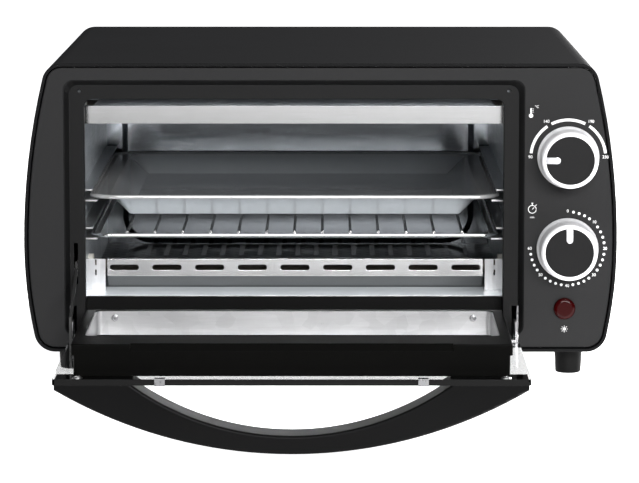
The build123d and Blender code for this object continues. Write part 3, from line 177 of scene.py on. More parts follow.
class OvenPrintSettings(bpy.types.PropertyGroup):
    print_colour: FloatVectorProperty(
        name="Print colour", description="Ink of the dial marks",
        default=(0.88, 0.88, 0.88), **COLOUR,
    )
    arc_radius: FloatProperty(
        name="Arc radius", description="Middle of the temperature arcs",
        unit="LENGTH", min=0.015, max=0.03, default=0.0229,
    )
    arc_width: FloatProperty(
        name="Arc width", description="Stroke of the temperature arcs",
        unit="LENGTH", min=0.0005, max=0.004, default=0.0017,
    )
    dot_radius: FloatProperty(
        name="Dot radius", description="Radius of a timer dot",
        unit="LENGTH", min=0.0003, max=0.002, default=0.00085,
    )
    letter_height: FloatProperty(
        name="Figure height", description="Height of the dial figures",
        unit="LENGTH", min=0.001, max=0.005, default=0.0022,
    )
    ink_thickness: FloatProperty(
        name="Ink thickness", description="How far the ink stands on the panel",
        unit="LENGTH", min=0.00001, max=0.0003, default=0.00006,
    )


class OvenStageSettings(bpy.types.PropertyGroup):
    floor_colour: FloatVectorProperty(
        name="Floor", description="Pale sweep under and behind the oven",
        default=(0.95, 0.95, 0.95), **COLOUR,
    )
    floor_glow: FloatProperty(
        name="Floor glow", description="Light of the lit sweep itself", default=1.0, **GLOW,
    )
    card_left: FloatProperty(
        name="Card left", description="Glow of the low front card at its left end",
        default=0.16, **GLOW,
    )
    card_right: FloatProperty(
        name="Card right", description="Glow of the low front card at its right end",
        default=0.75, **GLOW,
    )
    top_power: FloatProperty(
        name="Top light", description="Power of the overhead softbox", default=20.0, **POWER,
    )
    right_power: FloatProperty(
        name="Right light", description="Power of the right softbox", default=36.0, **POWER,
    )
    front_power: FloatProperty(
        name="Front light", description="Power of the front softbox", default=105.0, **POWER,
    )
    world_strength: FloatProperty(
        name="Ambient", description="Strength of the even ambient light",
        min=0.0, max=5.0, default=0.12,
    )
    camera_place: FloatVectorProperty(
        name="Camera", description="Where the camera stands", subtype="XYZ", unit="LENGTH",
        size=3, default=(0.0052, PANEL_FACE - CAMERA_TO_PANEL, 0.3705),
    )
    camera_pitch: FloatProperty(
        name="Pitch", description="How far the camera looks down",
        default=math.radians(7.54), **ANGLE,
    )
    camera_yaw: FloatProperty(
        name="Yaw", description="How far the camera turns left",
        default=math.radians(0.154), **ANGLE,
    )
    camera_lens: FloatProperty(
        name="Lens", description="Focal length in millimetres", min=20.0, max=400.0, default=199.4,
    )


# ---------------------------------------------------------------- shader groups

VECTOR = "NodeSocketVector"
NUMBER = "NodeSocketFloat"
GROUPS = {}


def group_tree(name, inputs, outputs):
    """An empty shader group with named sockets. inputs are (name, socket, default)."""
    tree = bpy.data.node_groups.new(name, "ShaderNodeTree")
    for label, kind, default in inputs:
        socket = tree.interface.new_socket(name=label, in_out="INPUT", socket_type=kind)
        if default is not None:
            socket.default_value = default
    for label, kind in outputs:
        tree.interface.new_socket(name=label, in_out="OUTPUT", socket_type=kind)
    start = tree.nodes.new("NodeGroupInput")
    end = tree.nodes.new("NodeGroupOutput")
    return tree, start.outputs, end.inputs


def feed(tree, value, socket):
    """Links a socket to another, or gives it a plain value."""
    if hasattr(value, "is_output"):
        tree.links.new(value, socket)
    else:
        socket.default_value = value


def add_node(tree, kind, **settings):
    made = tree.nodes.new(kind)
    for key, value in settings.items():
        setattr(made, key, value)
    return made


def maths(tree, operation, first, second, **settings):
    """A Math node. Each value is a number or a socket."""
    made = add_node(tree, "ShaderNodeMath", operation=operation, **settings)
    feed(tree, first, made.inputs[0])
    feed(tree, second, made.inputs[1])
    return made.outputs[0]


def vector_maths(tree, operation, first, second=None):
    """A Vector Math node. Each value is a triple or a socket."""
    made = add_node(tree, "ShaderNodeVectorMath", operation=operation)
    feed(tree, first, made.inputs[0])
    if second is not None:
        feed(tree, second, made.inputs[1])
    gives_number = operation in ("LENGTH", "DOT_PRODUCT")
    return made.outputs["Value" if gives_number else "Vector"]


def mixed(tree, first, second, share):
    """Adds two masks, the first weighed by share and the second by the rest."""
    weighed = maths(tree, "MULTIPLY", first, share)
    return maths(tree, "ADD", weighed, maths(tree, "MULTIPLY", second, 1.0 - share))


def noise(tree, vector, scale, detail=2.0, roughness=0.5):
    made = add_node(tree, "ShaderNodeTexNoise")
    for label, value in (
        ("Detail", detail), ("Roughness", roughness), ("Scale", scale), ("Vector", vector),
    ):
        feed(tree, value, made.inputs[label])
    return made.outputs["Fac"]


def spread(tree, value, low, high):
    """Maps a 0 to 1 value onto low to high. Each end is a number or a socket."""
    made = add_node(tree, "ShaderNodeMapRange")
    for label, end in (("Value", value), ("To Min", low), ("To Max", high)):
        feed(tree, end, made.inputs[label])
    return made.outputs["Result"]


def smooth_rise(tree, value, start, stop):
    """A smooth step from 0 at start to 1 at stop."""
    made = add_node(tree, "ShaderNodeMapRange", interpolation_type="SMOOTHSTEP")
    for label, end in (("Value", value), ("From Min", start), ("From Max", stop)):
        feed(tree, end, made.inputs[label])
    return made.outputs["Result"]


def paint_grain_group():
    """Fine orange-peel grain: a height for the bump and a speck mask for the colour."""
    tree, start, end = group_tree(
        "paint_grain", [("Vector", VECTOR, None), ("Grains per metre", NUMBER, 1500.0)],
        [("Height", NUMBER), ("Speck", NUMBER)],
    )
    grains = start["Grains per metre"]
    fine = noise(tree, start["Vector"], grains, 2.0, 0.6)
    coarse = noise(tree, start["Vector"], maths(tree, "MULTIPLY", grains, 0.3), 1.0)
    feed(tree, mixed(tree, fine, coarse, 0.7), end["Height"])
    feed(tree, maths(tree, "POWER", fine, 3.0), end["Speck"])
    return tree


def handling_marks_group():
    """Broad wiped patches and faint scuffs, as a roughness between two values."""
    tree, start, end = group_tree(
        "handling_marks", [("Vector", VECTOR, None), ("Low", NUMBER, 0.3), ("High", NUMBER, 0.4)],
        [("Roughness", NUMBER), ("Patch", NUMBER)],
    )
    broad = noise(tree, start["Vector"], 14.0, 3.0)
    scuffs = noise(tree, start["Vector"], 160.0, 4.0, 0.7)
    patch = mixed(tree, broad, scuffs, 0.75)
    feed(tree, patch, end["Patch"])
    feed(tree, spread(tree, patch, start["Low"], start["High"]), end["Roughness"])
    return tree


def drawn_lines_group():
    """Fine lines that rolling or drawing leaves in sheet, where the mapping stretches them."""
    tree, start, end = group_tree(
        "drawn_lines", [("Vector", VECTOR, None), ("Low", NUMBER, 0.2), ("High", NUMBER, 0.35)],
        [("Roughness", NUMBER), ("Line", NUMBER), ("Height", NUMBER)],
    )
    line = noise(tree, start["Vector"], 1.0, 4.0, 0.65)
    feed(tree, line, end["Line"])
    feed(tree, maths(tree, "MULTIPLY", line, 0.4), end["Height"])
    feed(tree, spread(tree, line, start["Low"], start["High"]), end["Roughness"])
    return tree


def zinc_spangle_group():
    """Soft patches of crystal in a zinc coat, as a tone."""
    tree, start, end = group_tree(
        "zinc_spangle", [("Vector", VECTOR, None), ("Patches per metre", NUMBER, 90.0)],
        [("Tone", NUMBER)],
    )
    patches = start["Patches per metre"]
    cells = add_node(tree, "ShaderNodeTexVoronoi", feature="F1")
    feed(tree, start["Vector"], cells.inputs["Vector"])
    feed(tree, patches, cells.inputs["Scale"])
    split = add_node(tree, "ShaderNodeSeparateColor")
    feed(tree, cells.outputs["Color"], split.inputs["Color"])
    cloud = noise(tree, start["Vector"], maths(tree, "MULTIPLY", patches, 0.25), 3.0)
    feed(tree, mixed(tree, split.outputs[0], cloud, 0.35), end["Tone"])
    return tree


def soft_edge_group():
    """Rounds the shading of a sharp sheet edge and gives a mask along it."""
    tree, start, end = group_tree(
        "soft_edge", [("Radius", NUMBER, 0.0004)], [("Normal", VECTOR), ("Edge", NUMBER)],
    )
    bevel = add_node(tree, "ShaderNodeBevel", samples=4)
    rounded = bevel.outputs["Normal"]
    feed(tree, start["Radius"], bevel.inputs["Radius"])
    feed(tree, rounded, end["Normal"])
    geometry = add_node(tree, "ShaderNodeNewGeometry")
    same = vector_maths(tree, "DOT_PRODUCT", rounded, geometry.outputs["Normal"])
    away = maths(tree, "SUBTRACT", 1.0, same)
    feed(tree, maths(tree, "MULTIPLY", away, 4.0, use_clamp=True), end["Edge"])
    return tree


def turned_rings_group():
    """Concentric rings about an axis along Y, as a height and a roughness step."""
    tree, start, end = group_tree(
        "turned_rings",
        [("Vector", VECTOR, None), ("Centre", VECTOR, None), ("Pitch", NUMBER, 0.0003)],
        [("Height", NUMBER), ("Ring", NUMBER)],
    )
    offset = vector_maths(tree, "SUBTRACT", start["Vector"], start["Centre"])
    radius = vector_maths(tree, "LENGTH", vector_maths(tree, "MULTIPLY", offset, (1.0, 0.0, 1.0)))
    rings = add_node(tree, "ShaderNodeTexNoise", noise_dimensions="1D")
    feed(tree, maths(tree, "DIVIDE", radius, start["Pitch"]), rings.inputs["W"])
    feed(tree, 1.0, rings.inputs["Scale"])
    feed(tree, 2.0, rings.inputs["Detail"])
    feed(tree, rings.outputs["Fac"], end["Ring"])
    feed(tree, rings.outputs["Fac"], end["Height"])
    return tree


def punched_holes_group():
    """A staggered pattern of small round holes in a level sheet, as a mask."""
    tree, start, end = group_tree(
        "punched_holes",
        [("Vector", VECTOR, None), ("Pitch", NUMBER, HOLE_PITCH), ("Radius", NUMBER, HOLE_RADIUS)],
        [("Hole", NUMBER)],
    )
    pitch = add_node(tree, "ShaderNodeCombineXYZ")
    for socket in pitch.inputs:
        feed(tree, start["Pitch"], socket)
    scaled = vector_maths(tree, "DIVIDE", start["Vector"], pitch.outputs[0])
    reaches = []
    for shift in (0.0, 0.5):
        cell = vector_maths(
            tree, "FRACTION", vector_maths(tree, "ADD", scaled, (shift, shift, 0.0))
        )
        middle = vector_maths(tree, "SUBTRACT", cell, (0.5, 0.5, 0.0))
        flat = vector_maths(tree, "MULTIPLY", middle, (1.0, 1.0, 0.0))
        reaches.append(vector_maths(tree, "LENGTH", flat))
    nearest = maths(tree, "MINIMUM", *reaches)
    size = maths(tree, "DIVIDE", start["Radius"], start["Pitch"])
    feed(tree, maths(tree, "LESS_THAN", nearest, size), end["Hole"])
    return tree


def build_groups():
    for make in (
        paint_grain_group, handling_marks_group, drawn_lines_group, zinc_spangle_group,
        soft_edge_group, turned_rings_group, punched_holes_group,
    ):
        tree = make()
        GROUPS[tree.name] = tree


# ---------------------------------------------------------------- materials


class Finish:
    """A material being built: its tree, its shader and the object coordinates of its patterns."""

    def __init__(self, name, roughness=0.4, metallic=0.0, specular=0.5):
        self.material = bpy.data.materials.new(name)
        self.material.use_nodes = True
        self.tree = self.material.node_tree
        self.shader = self.tree.nodes["Principled BSDF"]
        self.place = self.tree.nodes.new("ShaderNodeTexCoord").outputs["Object"]
        self.drive("Roughness", roughness)
        self.drive("Metallic", metallic)
        self.drive("Specular IOR Level", specular)

    def drive(self, label, value):
        """Sets one of the shader's sockets to a plain value, or links it."""
        feed(self.tree, value, self.shader.inputs[label])

    def group(self, name, **values):
        """Places a shader group, which follows the object coordinates unless Vector is given."""
        made = add_node(self.tree, "ShaderNodeGroup", node_tree=GROUPS[name])
        if "Vector" in made.inputs:
            values.setdefault("Vector", self.place)
        for label, value in values.items():
            feed(self.tree, value, made.inputs[label.replace("_", " ")])
        return made.outputs

    def wiped(self, low, high):
        """Drives the roughness by handling marks and returns their patches as a mask."""
        marks = self.group("handling_marks", Low=low, High=high)
        self.drive("Roughness", marks["Roughness"])
        return marks["Patch"]

    def drawn(self, stretch, low, high):
        """Drives the roughness by drawn lines and returns the group's outputs."""
        mapping = self.tree.nodes.new("ShaderNodeMapping")
        mapping.inputs["Scale"].default_value = stretch
        feed(self.tree, self.place, mapping.inputs["Vector"])
        lines = self.group("drawn_lines", Vector=mapping.outputs["Vector"], Low=low, High=high)
        self.drive("Roughness", lines["Roughness"])
        return lines

    def along(self, axis):
        """The object coordinate along X, Y or Z."""
        separate = self.tree.nodes.new("ShaderNodeSeparateXYZ")
        feed(self.tree, self.place, separate.inputs[0])
        return separate.outputs[axis]

    def blend(self, mask, first, second):
        """Mixes two colours by a mask. Each colour is a triple or a socket."""
        mix = add_node(self.tree, "ShaderNodeMix", data_type="RGBA")
        for socket, value in ((mix.inputs[6], first), (mix.inputs[7], second)):
            feed(self.tree, value if hasattr(value, "is_output") else (*value, 1.0), socket)
        feed(self.tree, mask, mix.inputs[0])
        return mix.outputs[2]

    def shades(self, mask, colour, dark, light):
        """Mixes a darker and a lighter shade of one colour by a mask."""
        return self.blend(mask, tinted(colour, dark), tinted(colour, light))

    def bump(self, height, distance, strength, edge=None):
        """Adds relief, on shading rounded by the edge radius where one is given."""
        node = self.tree.nodes.new("ShaderNodeBump")
        feed(self.tree, distance, node.inputs["Distance"])
        feed(self.tree, strength, node.inputs["Strength"])
        feed(self.tree, height, node.inputs["Height"])
        self.drive("Normal", node.outputs["Normal"])
        if edge is None:
            return None
        soft = self.group("soft_edge", Radius=edge)
        feed(self.tree, soft["Normal"], node.inputs["Normal"])
        return soft["Edge"]


def tinted(colour, factor):
    return tuple(min(1.0, channel * factor) for channel in colour)


def satin_paint(name, colour, grain, low, high, specular=0.35, edge=0.0004, seat_shade_from=None):
    """Sprayed satin paint with grain, wiped patches and lighter sheet edges, partly rubbed wear
    and partly a painted highlight.

    Behind the y value given as the last argument, a painted shade darkens the paint, as in the
    sunken door seat.
    """
    finish = Finish(name, specular=specular)
    grains = finish.group("paint_grain", Grains_per_metre=1.0 / grain)
    finish.wiped(low, high)
    rubbed_edge_highlight = finish.bump(grains["Height"], 0.00004, 0.5, edge)
    toned = finish.shades(grains["Speck"], colour, 0.92, 1.5)
    if seat_shade_from is not None:
        # Painted shade in the sunken door seat, behind the given y value.
        shaded_seat = maths(finish.tree, "GREATER_THAN", finish.along("Y"), seat_shade_from)
        toned = finish.blend(shaded_seat, toned, tinted(colour, 0.3))
    # The sheet edges are painted lighter: partly rubbed wear, partly a painted highlight.
    finish.drive("Base Color", finish.blend(rubbed_edge_highlight, toned, tinted(colour, 1.9)))
    return finish.material


def sheet_metal(
    name, colour, stretch, low, high, spangle=None, contrast=0.18, metallic=1.0, foot=None
):
    """Rolled bright sheet with drawn lines and, where it is galvanised, zinc patches.

    foot is (from height, to height, tone) where a painted shade darkens the sheet towards its
    lower edge.
    """
    finish = Finish(name, metallic=metallic)
    lines = finish.drawn(stretch, low, high)
    toned = finish.shades(lines["Line"], colour, 1 - contrast, 1 + contrast)
    if spangle:
        zinc = finish.group("zinc_spangle", Patches_per_metre=spangle)
        toned = finish.blend(zinc["Tone"], tinted(colour, 0.75), toned)
    # Painted shade towards the lower edge of the sheet.
    if foot:
        bottom, top, tone = foot
        above = smooth_rise(finish.tree, finish.along("Z"), bottom, top)
        toned = finish.blend(above, tinted(colour, tone), toned)
    finish.drive("Base Color", toned)
    finish.bump(lines["Height"], 0.00002, 0.4, 0.0003)
    return finish.material


def moulded(name, colour, grain, low, high, specular=0.4, edge=0.0004):
    """Moulded plastic, rubber or ceramic with a fine texture."""
    finish = Finish(name, specular=specular)
    grains = finish.group("paint_grain", Grains_per_metre=1.0 / grain)
    finish.drive("Base Color", finish.shades(finish.wiped(low, high), colour, 0.85, 1.2))
    finish.bump(grains["Height"], 0.00003, 0.6, edge)
    return finish.material


def clear_glass(name, colour, low, high, bend=1.5):
    """Glass with faint wiped marks."""
    finish = Finish(name)
    finish.drive("Transmission Weight", 1.0)
    finish.drive("IOR", bend)
    finish.drive("Base Color", finish.shades(finish.wiped(low, high), colour, 0.97, 1.03))
    return finish.material


def oxidised_tube(name, colour):
    """Heater sheath with a heat-darkened, streaky oxide."""
    finish = Finish(name, metallic=0.85)
    patch = finish.group("handling_marks", Low=0.4, High=0.6)["Patch"]
    lines = finish.drawn((30.0, 900.0, 900.0), 0.4, 0.62)
    warm = finish.blend(patch, colour, (colour[0] * 1.5, colour[1] * 1.25, colour[2]))
    finish.drive("Base Color", finish.blend(lines["Line"], tinted(colour, 0.7), warm))
    finish.bump(lines["Height"], 0.00004, 0.6)
    return finish.material


def dress(material, *nodes):
    """Gives CAD nodes this material in every slot they have."""
    for name in nodes:
        mesh = NODES[name].data
        if not mesh.materials:
            mesh.materials.append(material)
        for index in range(len(mesh.materials)):
            mesh.materials[index] = material


# ---------------------------------------------------------------- mesh helpers


def add_object(name, data):
    holder = bpy.data.objects.new(name, data)
    bpy.context.scene.collection.objects.link(holder)
    return holder


def place_mesh(name, mesh, body, material, stands_for=()):
    """Puts a finished mesh in the scene, riding on a body."""
    piece = add_object(name, mesh)
    mesh.materials.clear()
    mesh.materials.append(material)
    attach(piece, body)
    if stands_for:
        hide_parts(*stands_for)


def mesh_of(name, build):
    """Runs build on a new bmesh and returns the mesh it made, with faces turned outwards."""
    mesh = bpy.data.meshes.new(name)
    work = bmesh.new()
    build(work)
    bmesh.ops.recalc_face_normals(work, faces=work.faces)
    work.to_mesh(mesh)
    work.free()
    return mesh


def shown_mesh(holder):
    """The mesh that an object's text or modifiers give. The object is removed."""
    bpy.context.view_layer.update()
    shown = holder.evaluated_get(bpy.context.evaluated_depsgraph_get())
    mesh = bpy.data.meshes.new_from_object(shown)
    bpy.data.objects.remove(holder)
    return mesh


def smooth_faces(mesh, limit):
    """Smooth shading, with edges over the limit in degrees left sharp."""
    for face in mesh.polygons:
        face.use_smooth = True
    mesh.set_sharp_from_angle(angle=math.radians(limit))


def box_centre(node):
    low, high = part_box(node)
    return (low + high) / 2


def dial_centre(node):
    """The middle of a node as an (x, z) point."""
    middle = box_centre(node)
    return (middle.x, middle.z)


def polar(centre, radius, degrees):
    """The (x, z) point at a radius and an angle from a centre."""
    angle = math.radians(degrees)
    return (centre[0] + radius * math.cos(angle), centre[1] + radius * math.sin(angle))


def shifted(point, x, z):
    return (point[0] + x, point[1] + z)


def join_rings(work, first, second):
    """Closes two matching rings of vertices and joins their sides."""
    work.faces.new(first)
    work.faces.new(second)
    for index in range(len(first)):
        other = (index + 1) % len(first)
        work.faces.new((first[index], first[other], second[other], second[index]))


def prism(work, outline, depth):
    """A straight solid from an outline of (x, z) points, between the two y values of depth."""
    join_rings(work, *([work.verts.new((x, y, z)) for x, z in outline] for y in depth))


def arc_points(centre, radius, start, stop, steps):
    """Points on a circle in the XZ plane from one angle to another, in degrees."""
    return [
        polar(centre, radius, start + (stop - start) * step / steps) for step in range(steps + 1)
    ]


def ink_arc(work, centre, radius, width, start, stop, depth, steps=28):
    outer = arc_points(centre, radius + width / 2, start, stop, steps)
    inner = arc_points(centre, radius - width / 2, stop, start, steps)
    prism(work, outer + inner, depth)


def ink_dot(work, centre, radius, depth):
    prism(work, arc_points(centre, radius, 0, 345, 23), depth)


def ink_bar(work, start, stop, width, depth):
    """A straight stroke between two (x, z) points."""
    run = Vector((stop[0] - start[0], stop[1] - start[1])).normalized()
    x, z = -run.y * width / 2, run.x * width / 2
    one_side = [shifted(start, x, z), shifted(stop, x, z)]
    other_side = [shifted(stop, -x, -z), shifted(start, -x, -z)]
    prism(work, one_side + other_side, depth)


def ink_figures(name, words, centre, height, depth):
    """Raised figures on the panel, centred on an (x, z) point, as a mesh."""
    near, far = depth
    curve = bpy.data.curves.new(name, "FONT")
    curve.body = words
    curve.size = height / LETTER_TO_SIZE
    curve.align_x = "CENTER"
    curve.align_y = "CENTER"
    curve.extrude = (far - near) / 2
    curve.offset = height * 0.012
    mesh = shown_mesh(add_object(name, curve))
    bpy.data.curves.remove(curve)
    mesh.transform(Matrix.Rotation(math.radians(90), 4, "X"))
    mesh.transform(Matrix.Translation((centre[0], (near + far) / 2, centre[1])))
    return mesh


def lathe(work, profile):
    """Turns a profile of (radius, height) points about Z. The first and last lie on the axis."""
    steps = 48
    bottom = work.verts.new((0, 0, profile[0][1]))
    rings = []
    for radius, height in profile[1:-1]:
        angles = (2 * math.pi * step / steps for step in range(steps))
        rings.append([
            work.verts.new((radius * math.cos(angle), radius * math.sin(angle), height))
            for angle in angles
        ])
    top = work.verts.new((0, 0, profile[-1][1]))
    for step in range(steps):
        other = (step + 1) % steps
        work.faces.new((bottom, rings[0][step], rings[0][other]))
        for low, high in zip(rings, rings[1:]):
            work.faces.new((low[step], low[other], high[other], high[step]))
        work.faces.new((rings[-1][step], rings[-1][other], top))


def screw_mesh(name, radius, height):
    """A domed cross-recessed screw head, standing on the XY plane."""
    wall = height * 0.35
    profile = [(0.0, 0.0), (radius, 0.0), (radius, wall)]
    for step in range(1, 6):
        angle = math.radians(90 * step / 6)
        profile.append((radius * math.cos(angle), wall + (height - wall) * math.sin(angle)))
    profile.append((0.0, height))
    head = add_object(name, mesh_of(name, lambda work: lathe(work, profile)))

    def cross(work):
        reach = radius * 0.56
        half = radius * 0.15
        arm = [(half, half), (half, reach), (-half, reach)]
        outline = []
        for quarter in range(4):
            outline += arm
            arm = [(-y, x) for x, y in arm]
        join_rings(work, *(
            [work.verts.new((x * flare, y * flare, height * level)) for x, y in outline]
            for flare, level in ((0.7, 0.3), (1.1, 1.3))
        ))

    cutter = add_object(name + "_recess", mesh_of(name + "_recess", cross))
    cut = head.modifiers.new("recess", "BOOLEAN")
    cut.object = cutter
    cut.operation = "DIFFERENCE"
    cut.solver = "EXACT"
    result = shown_mesh(head)
    bpy.data.objects.remove(cutter)
    smooth_faces(result, 35.0)
    return result


# ---------------------------------------------------------------- operators


class OVEN_OT_dress_shell(bpy.types.Operator):
    """Paints the shell, rear panel, base and feet"""

    bl_idname = "oven.dress_shell"
    bl_label = "Dress the shell"

    def execute(self, context):
        paint = context.scene.oven_paint
        shell = satin_paint(
            "shell_satin_black", paint.shell_colour, paint.grain_size, 0.42, 0.52, specular=0.05
        )
        dress(shell, "outer_shell", "rear_panel")
        base = sheet_metal(
            "base_galvanised", (0.5, 0.5, 0.51), (60.0, 900.0, 60.0), 0.34, 0.5, spangle=110.0
        )
        dress(base, "base_plate")
        rubber = moulded(
            "foot_moulded_black", (0.004, 0.004, 0.004), 0.0005, 0.45, 0.6, specular=0.08
        )
        dress(rubber, "feet", "cord_gland")
        return {"FINISHED"}


class OVEN_OT_dress_panel(bpy.types.Operator):
    """Paints the front panel and the sill under the chamber"""

    bl_idname = "oven.dress_panel"
    bl_label = "Dress the front panel"

    def execute(self, context):
        paint = context.scene.oven_paint
        panel = satin_paint(
            "panel_satin_black", paint.panel_colour, paint.grain_size / 1.25, 0.4, 0.52,
            # Painted shade on the door seat, which sits behind the panel face.
            specular=0.12, edge=0.0005, seat_shade_from=PANEL_FACE + SEAT_BEHIND_FACE,
        )
        dress(panel, "front_panel")
        sill = satin_paint(
            "sill_black", (0.003, 0.003, 0.003), paint.grain_size, 0.3, 0.42, specular=0.1
        )
        dress(sill, "sill")
        return {"FINISHED"}


class OVEN_OT_dress_chamber(bpy.types.Operator):
    """Finishes the chamber's sheets, guards, heaters and rails"""

    bl_idname = "oven.dress_chamber"
    bl_label = "Dress the chamber"

    def execute(self, context):
        metal = context.scene.oven_metal
        self.liner(metal.sheet_colour)
        self.guards(metal.guard_colour)
        bracket = sheet_metal(
            "bracket_sheet", (0.6, 0.6, 0.61), (700.0, 900.0, 60.0), 0.3, 0.42
        )
        dress(bracket, "guard_brackets", "heat_shield")
        rail = sheet_metal("rail_sheet", (0.62, 0.62, 0.63), (900.0, 40.0, 900.0), 0.24, 0.36)
        dress(rail, "guide_rails_left", "guide_rails_right")
        heater = oxidised_tube("heater_oxide", (0.16, 0.15, 0.14))
        dress(heater, "lower_heater", "upper_heater")
        ceramic = moulded("insulator_ceramic", (0.72, 0.7, 0.64), 0.0004, 0.55, 0.7)
        dress(ceramic, "heater_insulators")
        return {"FINISHED"}

    def liner(self, sheet):
        # Painted light and shade: the one galvanised sheet is painted lighter on the side walls
        # and darker on the back wall than on the roof.
        side = sheet_metal(
            "liner_side_zinc", tinted(sheet, 1.6), (900.0, 40.0, 700.0), 0.16, 0.28,
            spangle=80.0, metallic=0.25,
        )
        dress(side, "liner_left", "liner_right")
        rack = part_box("wire_rack")[0].z
        # Painted shade: the back wall darkens further towards its foot, under the rack and pan.
        back = sheet_metal(
            "liner_back_zinc", tinted(sheet, 0.5), (40.0, 900.0, 700.0), 0.07, 0.14,
            spangle=80.0, foot=(rack, rack + BACK_FOOT_HEIGHT, 0.5),
        )
        dress(back, "liner_back")
        roof = sheet_metal(
            "liner_roof_zinc", sheet, (40.0, 700.0, 900.0), 0.26, 0.4, spangle=80.0
        )
        dress(roof, "liner_roof")
        dress(self.floor(sheet), "liner_floor")

    def guards(self, bright):
        stretch = (25.0, 900.0, 1400.0)
        # Painted light and shade: the one guard sheet is painted darker on the upper guard and
        # lighter on the lower.
        upper = sheet_metal(
            "guard_upper_sheet", tinted(bright, 0.5), stretch, 0.12, 0.2, contrast=0.02
        )
        dress(upper, "upper_heater_guard")
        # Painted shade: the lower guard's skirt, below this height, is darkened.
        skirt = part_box("lower_heater_guard")[0].z + SKIRT_HEIGHT
        lower = sheet_metal(
            "guard_lower_sheet", tinted(bright, 1.13), stretch, 0.14, 0.22, contrast=0.02,
            foot=(skirt - SKIRT_BLEND, skirt, 0.26),
        )
        dress(lower, "lower_heater_guard")

    def floor(self, colour):
        """Galvanised floor: painted light ahead of the guard, a painted shadow behind it, punched
        at the back.
        """
        finish = Finish("liner_floor_zinc")
        tree = finish.tree
        depth = finish.along("Y")
        lines = finish.drawn((40.0, 700.0, 900.0), 0.26, 0.4)
        holes = finish.group("punched_holes", Pitch=HOLE_PITCH, Radius=HOLE_RADIUS)
        low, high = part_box("liner_floor")
        behind = maths(tree, "GREATER_THAN", depth, low.y + (high.y - low.y) * PUNCHED_FROM)
        punched = maths(tree, "MULTIPLY", holes["Hole"], behind)
        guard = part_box("lower_heater_guard")[1].y - GUARD_THICKNESS
        # Painted light on the floor ahead of the lower guard, painted shadow behind it where the
        # guard shades the floor.
        guard_shadow = smooth_rise(tree, depth, guard - GUARD_SHADOW_HALF_BLEND, guard + GUARD_SHADOW_HALF_BLEND)
        lit_ahead = finish.shades(lines["Line"], colour, 1.65, 1.9)
        shaded_behind = finish.shades(lines["Line"], colour, 0.3, 0.37)
        toned = finish.blend(guard_shadow, lit_ahead, shaded_behind)
        finish.drive("Base Color", finish.blend(punched, toned, (0.01, 0.01, 0.01)))
        finish.drive("Metallic", spread(tree, guard_shadow, 0.1, 0.6))
        finish.bump(maths(tree, "SUBTRACT", 1.0, punched), 0.0004, 0.8)
        return finish.material


class OVEN_OT_dress_rack_and_pan(bpy.types.Operator):
    """Plates the wire rack and brightens the baking pan"""

    bl_idname = "oven.dress_rack_and_pan"
    bl_label = "Dress the rack and pan"

    def execute(self, context):
        metal = context.scene.oven_metal
        wire = sheet_metal(
            "rack_plated_wire", metal.wire_colour, (300.0, 300.0, 300.0), 0.1, 0.2, contrast=0.05
        )
        dress(wire, "wire_rack")
        dress(self.pan(metal.pan_colour), "baking_pan")
        return {"FINISHED"}

    def pan(self, colour):
        """Smooth mirroring sheet, with a separate greyer and less mirroring tone on the rolled
        rim, a painted highlight that makes the rim read pale.
        """
        finish = Finish("pan_bright_sheet")
        lines = finish.drawn((120.0, 120.0, 120.0), 0.07, 0.15)
        # Painted highlight: the rolled rim gets its own tone so that it renders pale.
        rim_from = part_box("baking_pan")[1].z - PAN_RIM_DEPTH
        rim = maths(finish.tree, "GREATER_THAN", finish.along("Z"), rim_from)
        body = finish.shades(lines["Line"], colour, 0.94, 1.06)
        finish.drive("Base Color", finish.blend(rim, body, (0.52, 0.52, 0.52)))
        finish.drive("Metallic", spread(finish.tree, rim, 0.6, 0.5))
        finish.bump(lines["Height"], 0.00002, 0.3, 0.0008)
        return finish.material


class OVEN_OT_dress_door(bpy.types.Operator):
    """Finishes the door's glass, frame, liner, trims, hinges and handle"""

    bl_idname = "oven.dress_door"
    bl_label = "Dress the door"

    def execute(self, context):
        paint = context.scene.oven_paint
        glass = clear_glass("door_toughened_glass", (0.98, 0.99, 0.985), 0.0, 0.02, bend=1.18)
        dress(glass, "door_glass")
        black = satin_paint(
            "door_frame_black", (0.0022, 0.0022, 0.002), paint.grain_size, 0.32, 0.45,
            specular=0.02,
        )
        dress(black, "door_frame")
        strip = moulded(
            "edge_strip_black", (0.008, 0.008, 0.008), 0.0004, 0.15, 0.25, specular=0.08
        )
        dress(strip, "edge_trim")
        zinc = sheet_metal(
            "window_liner_zinc", (0.62, 0.62, 0.63), (60.0, 60.0, 900.0), 0.24, 0.36,
            spangle=120.0,
        )
        dress(zinc, "window_liner")
        plated = sheet_metal(
            "hinge_plated_steel", (0.36, 0.36, 0.37), (400.0, 60.0, 400.0), 0.22, 0.34
        )
        dress(
            plated, "hinge_arm_left", "hinge_arm_right", "hinge_bracket_left",
            "hinge_bracket_right", "hinge_pins", "trim_clips", "liner_rivets",
        )
        arm = satin_paint("check_arm_black", (0.02, 0.02, 0.02), 0.0005, 0.35, 0.45)
        dress(arm, "check_arm")
        handle = moulded(
            "handle_fine_texture", paint.handle_colour, 0.0004, 0.32, 0.42,
            specular=0.05, edge=0.0008,
        )
        dress(handle, "handle")
        return {"FINISHED"}


